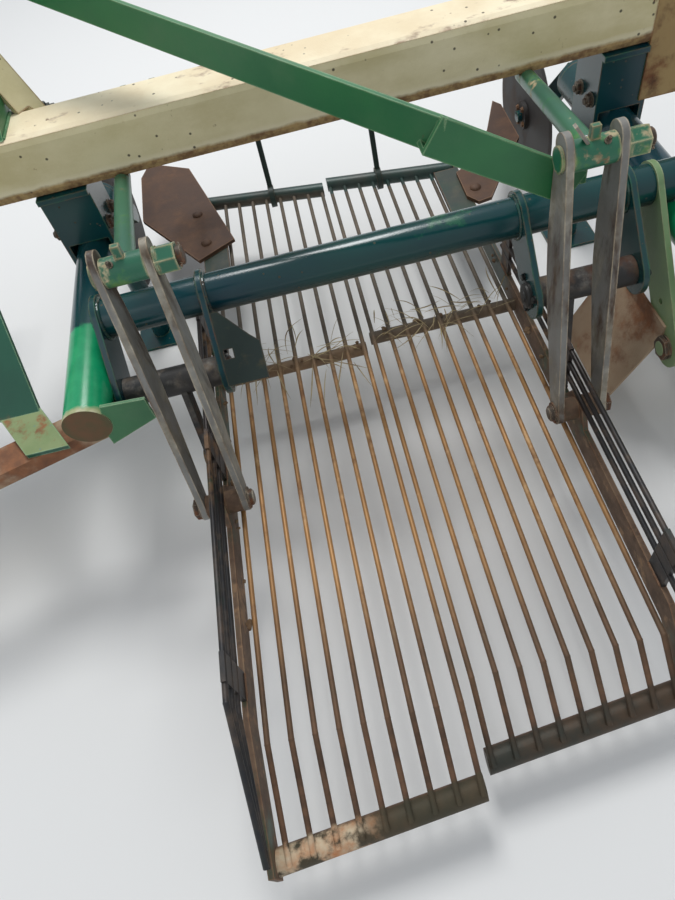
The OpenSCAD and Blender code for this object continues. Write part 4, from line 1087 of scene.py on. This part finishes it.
def blade(start, heading, length, width, rise, sag, seed):
    # centre(t) = start + t * length * heading + (0, 0, rise sin(pi t) - sag t^2) + a slow sideways sine;
    # half width(t) = width * sin(pi (start + share t))
    form = bladeForm
    rng = np.random.default_rng(abs(seed))
    t = np.linspace(0, 1, form["points"])
    h = unit(heading)
    side = unit(np.cross((0, 0, 1.0), h) + np.array([0, 0, rng.uniform(-form["tilt"], form["tilt"])]))
    sway = rng.uniform(-form["sway"], form["sway"]) * length * np.sin(t * rng.uniform(*form["bends"]))
    middle = np.asarray(start, float) + np.outer(t * length, h) + np.outer(sway, side)
    middle[:, 2] += rise * np.sin(math.pi * t) - sag * t * t
    w = (width * np.sin(math.pi * (form["start"] + form["share"] * t)))[:, None] * side
    lift = np.array([0, 0, form["half"]])
    points = np.stack([middle - w, middle + lift, middle + w, middle - lift], 1)
    return points.reshape(-1, 3), ringFaces(form["points"], 4, True)


def strawParts(side, sign, values):
    # blades start over the cross bar between the rods
    rng = np.random.default_rng(values["seed"] + int(sign))
    origin = halfOrigin(side)
    parts = []
    for k in range(values["blades"]):
        x = sign * rng.uniform(*values["reach"])
        y = values["bar"] + rng.normal(0, values["spread"])
        angle = rng.uniform(0, 2 * math.pi)
        heading = (math.cos(angle), math.sin(angle) * 0.8, rng.uniform(-0.1, 0.12))
        start = origin + np.array([x, y, 6 + rng.uniform(0, 6)])
        length = rng.uniform(*values["length"])
        points, faces = blade(start, heading, length, rng.uniform(*values["width"]),
                              rng.uniform(*values["rise"]), rng.uniform(*values["sag"]), k)
        # a blade that would reach the other half is moved out until it is clear of it
        points[:, 0] += sign * max(0.0, values["clear"] - (points[:, 0] * sign).min())
        parts.append((points, faces))
    return parts


def clod(place, size, seed):
    # a lump of soil: radius(a, b) = size * (1 + three sines of the two angles), flattened upward
    form = lumpForm
    first, second, third = form["waves"]
    rng = np.random.default_rng(abs(seed))
    a = np.linspace(0, 2 * math.pi, form["around"], endpoint=False)
    b = np.linspace(form["pole"], math.pi - form["pole"], form["rows"])
    f = rng.uniform(0, 6, 3)
    bb, aa = np.meshgrid(b, a, indexing="ij")
    r = size * (1 + first * np.sin(2 * aa + f[0]) * np.sin(bb) + second * np.sin(3 * aa + 2 * bb + f[1])
                + third * np.sin(5 * bb + f[2]))
    x, y, z = r * np.sin(bb) * np.cos(aa), r * np.sin(bb) * np.sin(aa), form["flat"] * r * np.cos(bb)
    points = np.stack([x, y, z], -1)
    return points.reshape(-1, 3) + np.asarray(place), ringFaces(form["rows"], form["around"], True)


def soilParts(side, sign, values):
    # lumps along the inner foot of the side bar and over the cross bar
    seed = values["seed"] + int(sign)
    rng = np.random.default_rng(abs(seed))
    origin = halfOrigin(side)
    parts = []
    for k in range(values["foot"]):
        y = rng.uniform(*values["footY"])
        spot = origin + np.array([sign * rng.uniform(*values["footX"]), y, rng.uniform(1, 7)])
        parts.append(clod(spot, rng.uniform(*values["footSize"]), seed + k))
    for k in range(values["bar"]):
        x = sign * rng.uniform(*values["barX"])
        y = values["barY"] + rng.uniform(-values["barHalf"], values["barHalf"])
        spot = origin + np.array([x, y, rng.uniform(-4, 2)])
        parts.append(clod(spot, rng.uniform(*values["barSize"]), seed + 40 + k))
    return parts


for side, sign in sides.items():
    addPiece("straw_" + side, "half_" + side, strawParts(side, sign, straw), "dryGrass")
    addPiece("soil_" + side, "half_" + side, soilParts(side, sign, soil), "drySoil")
print("grass and soil placed")
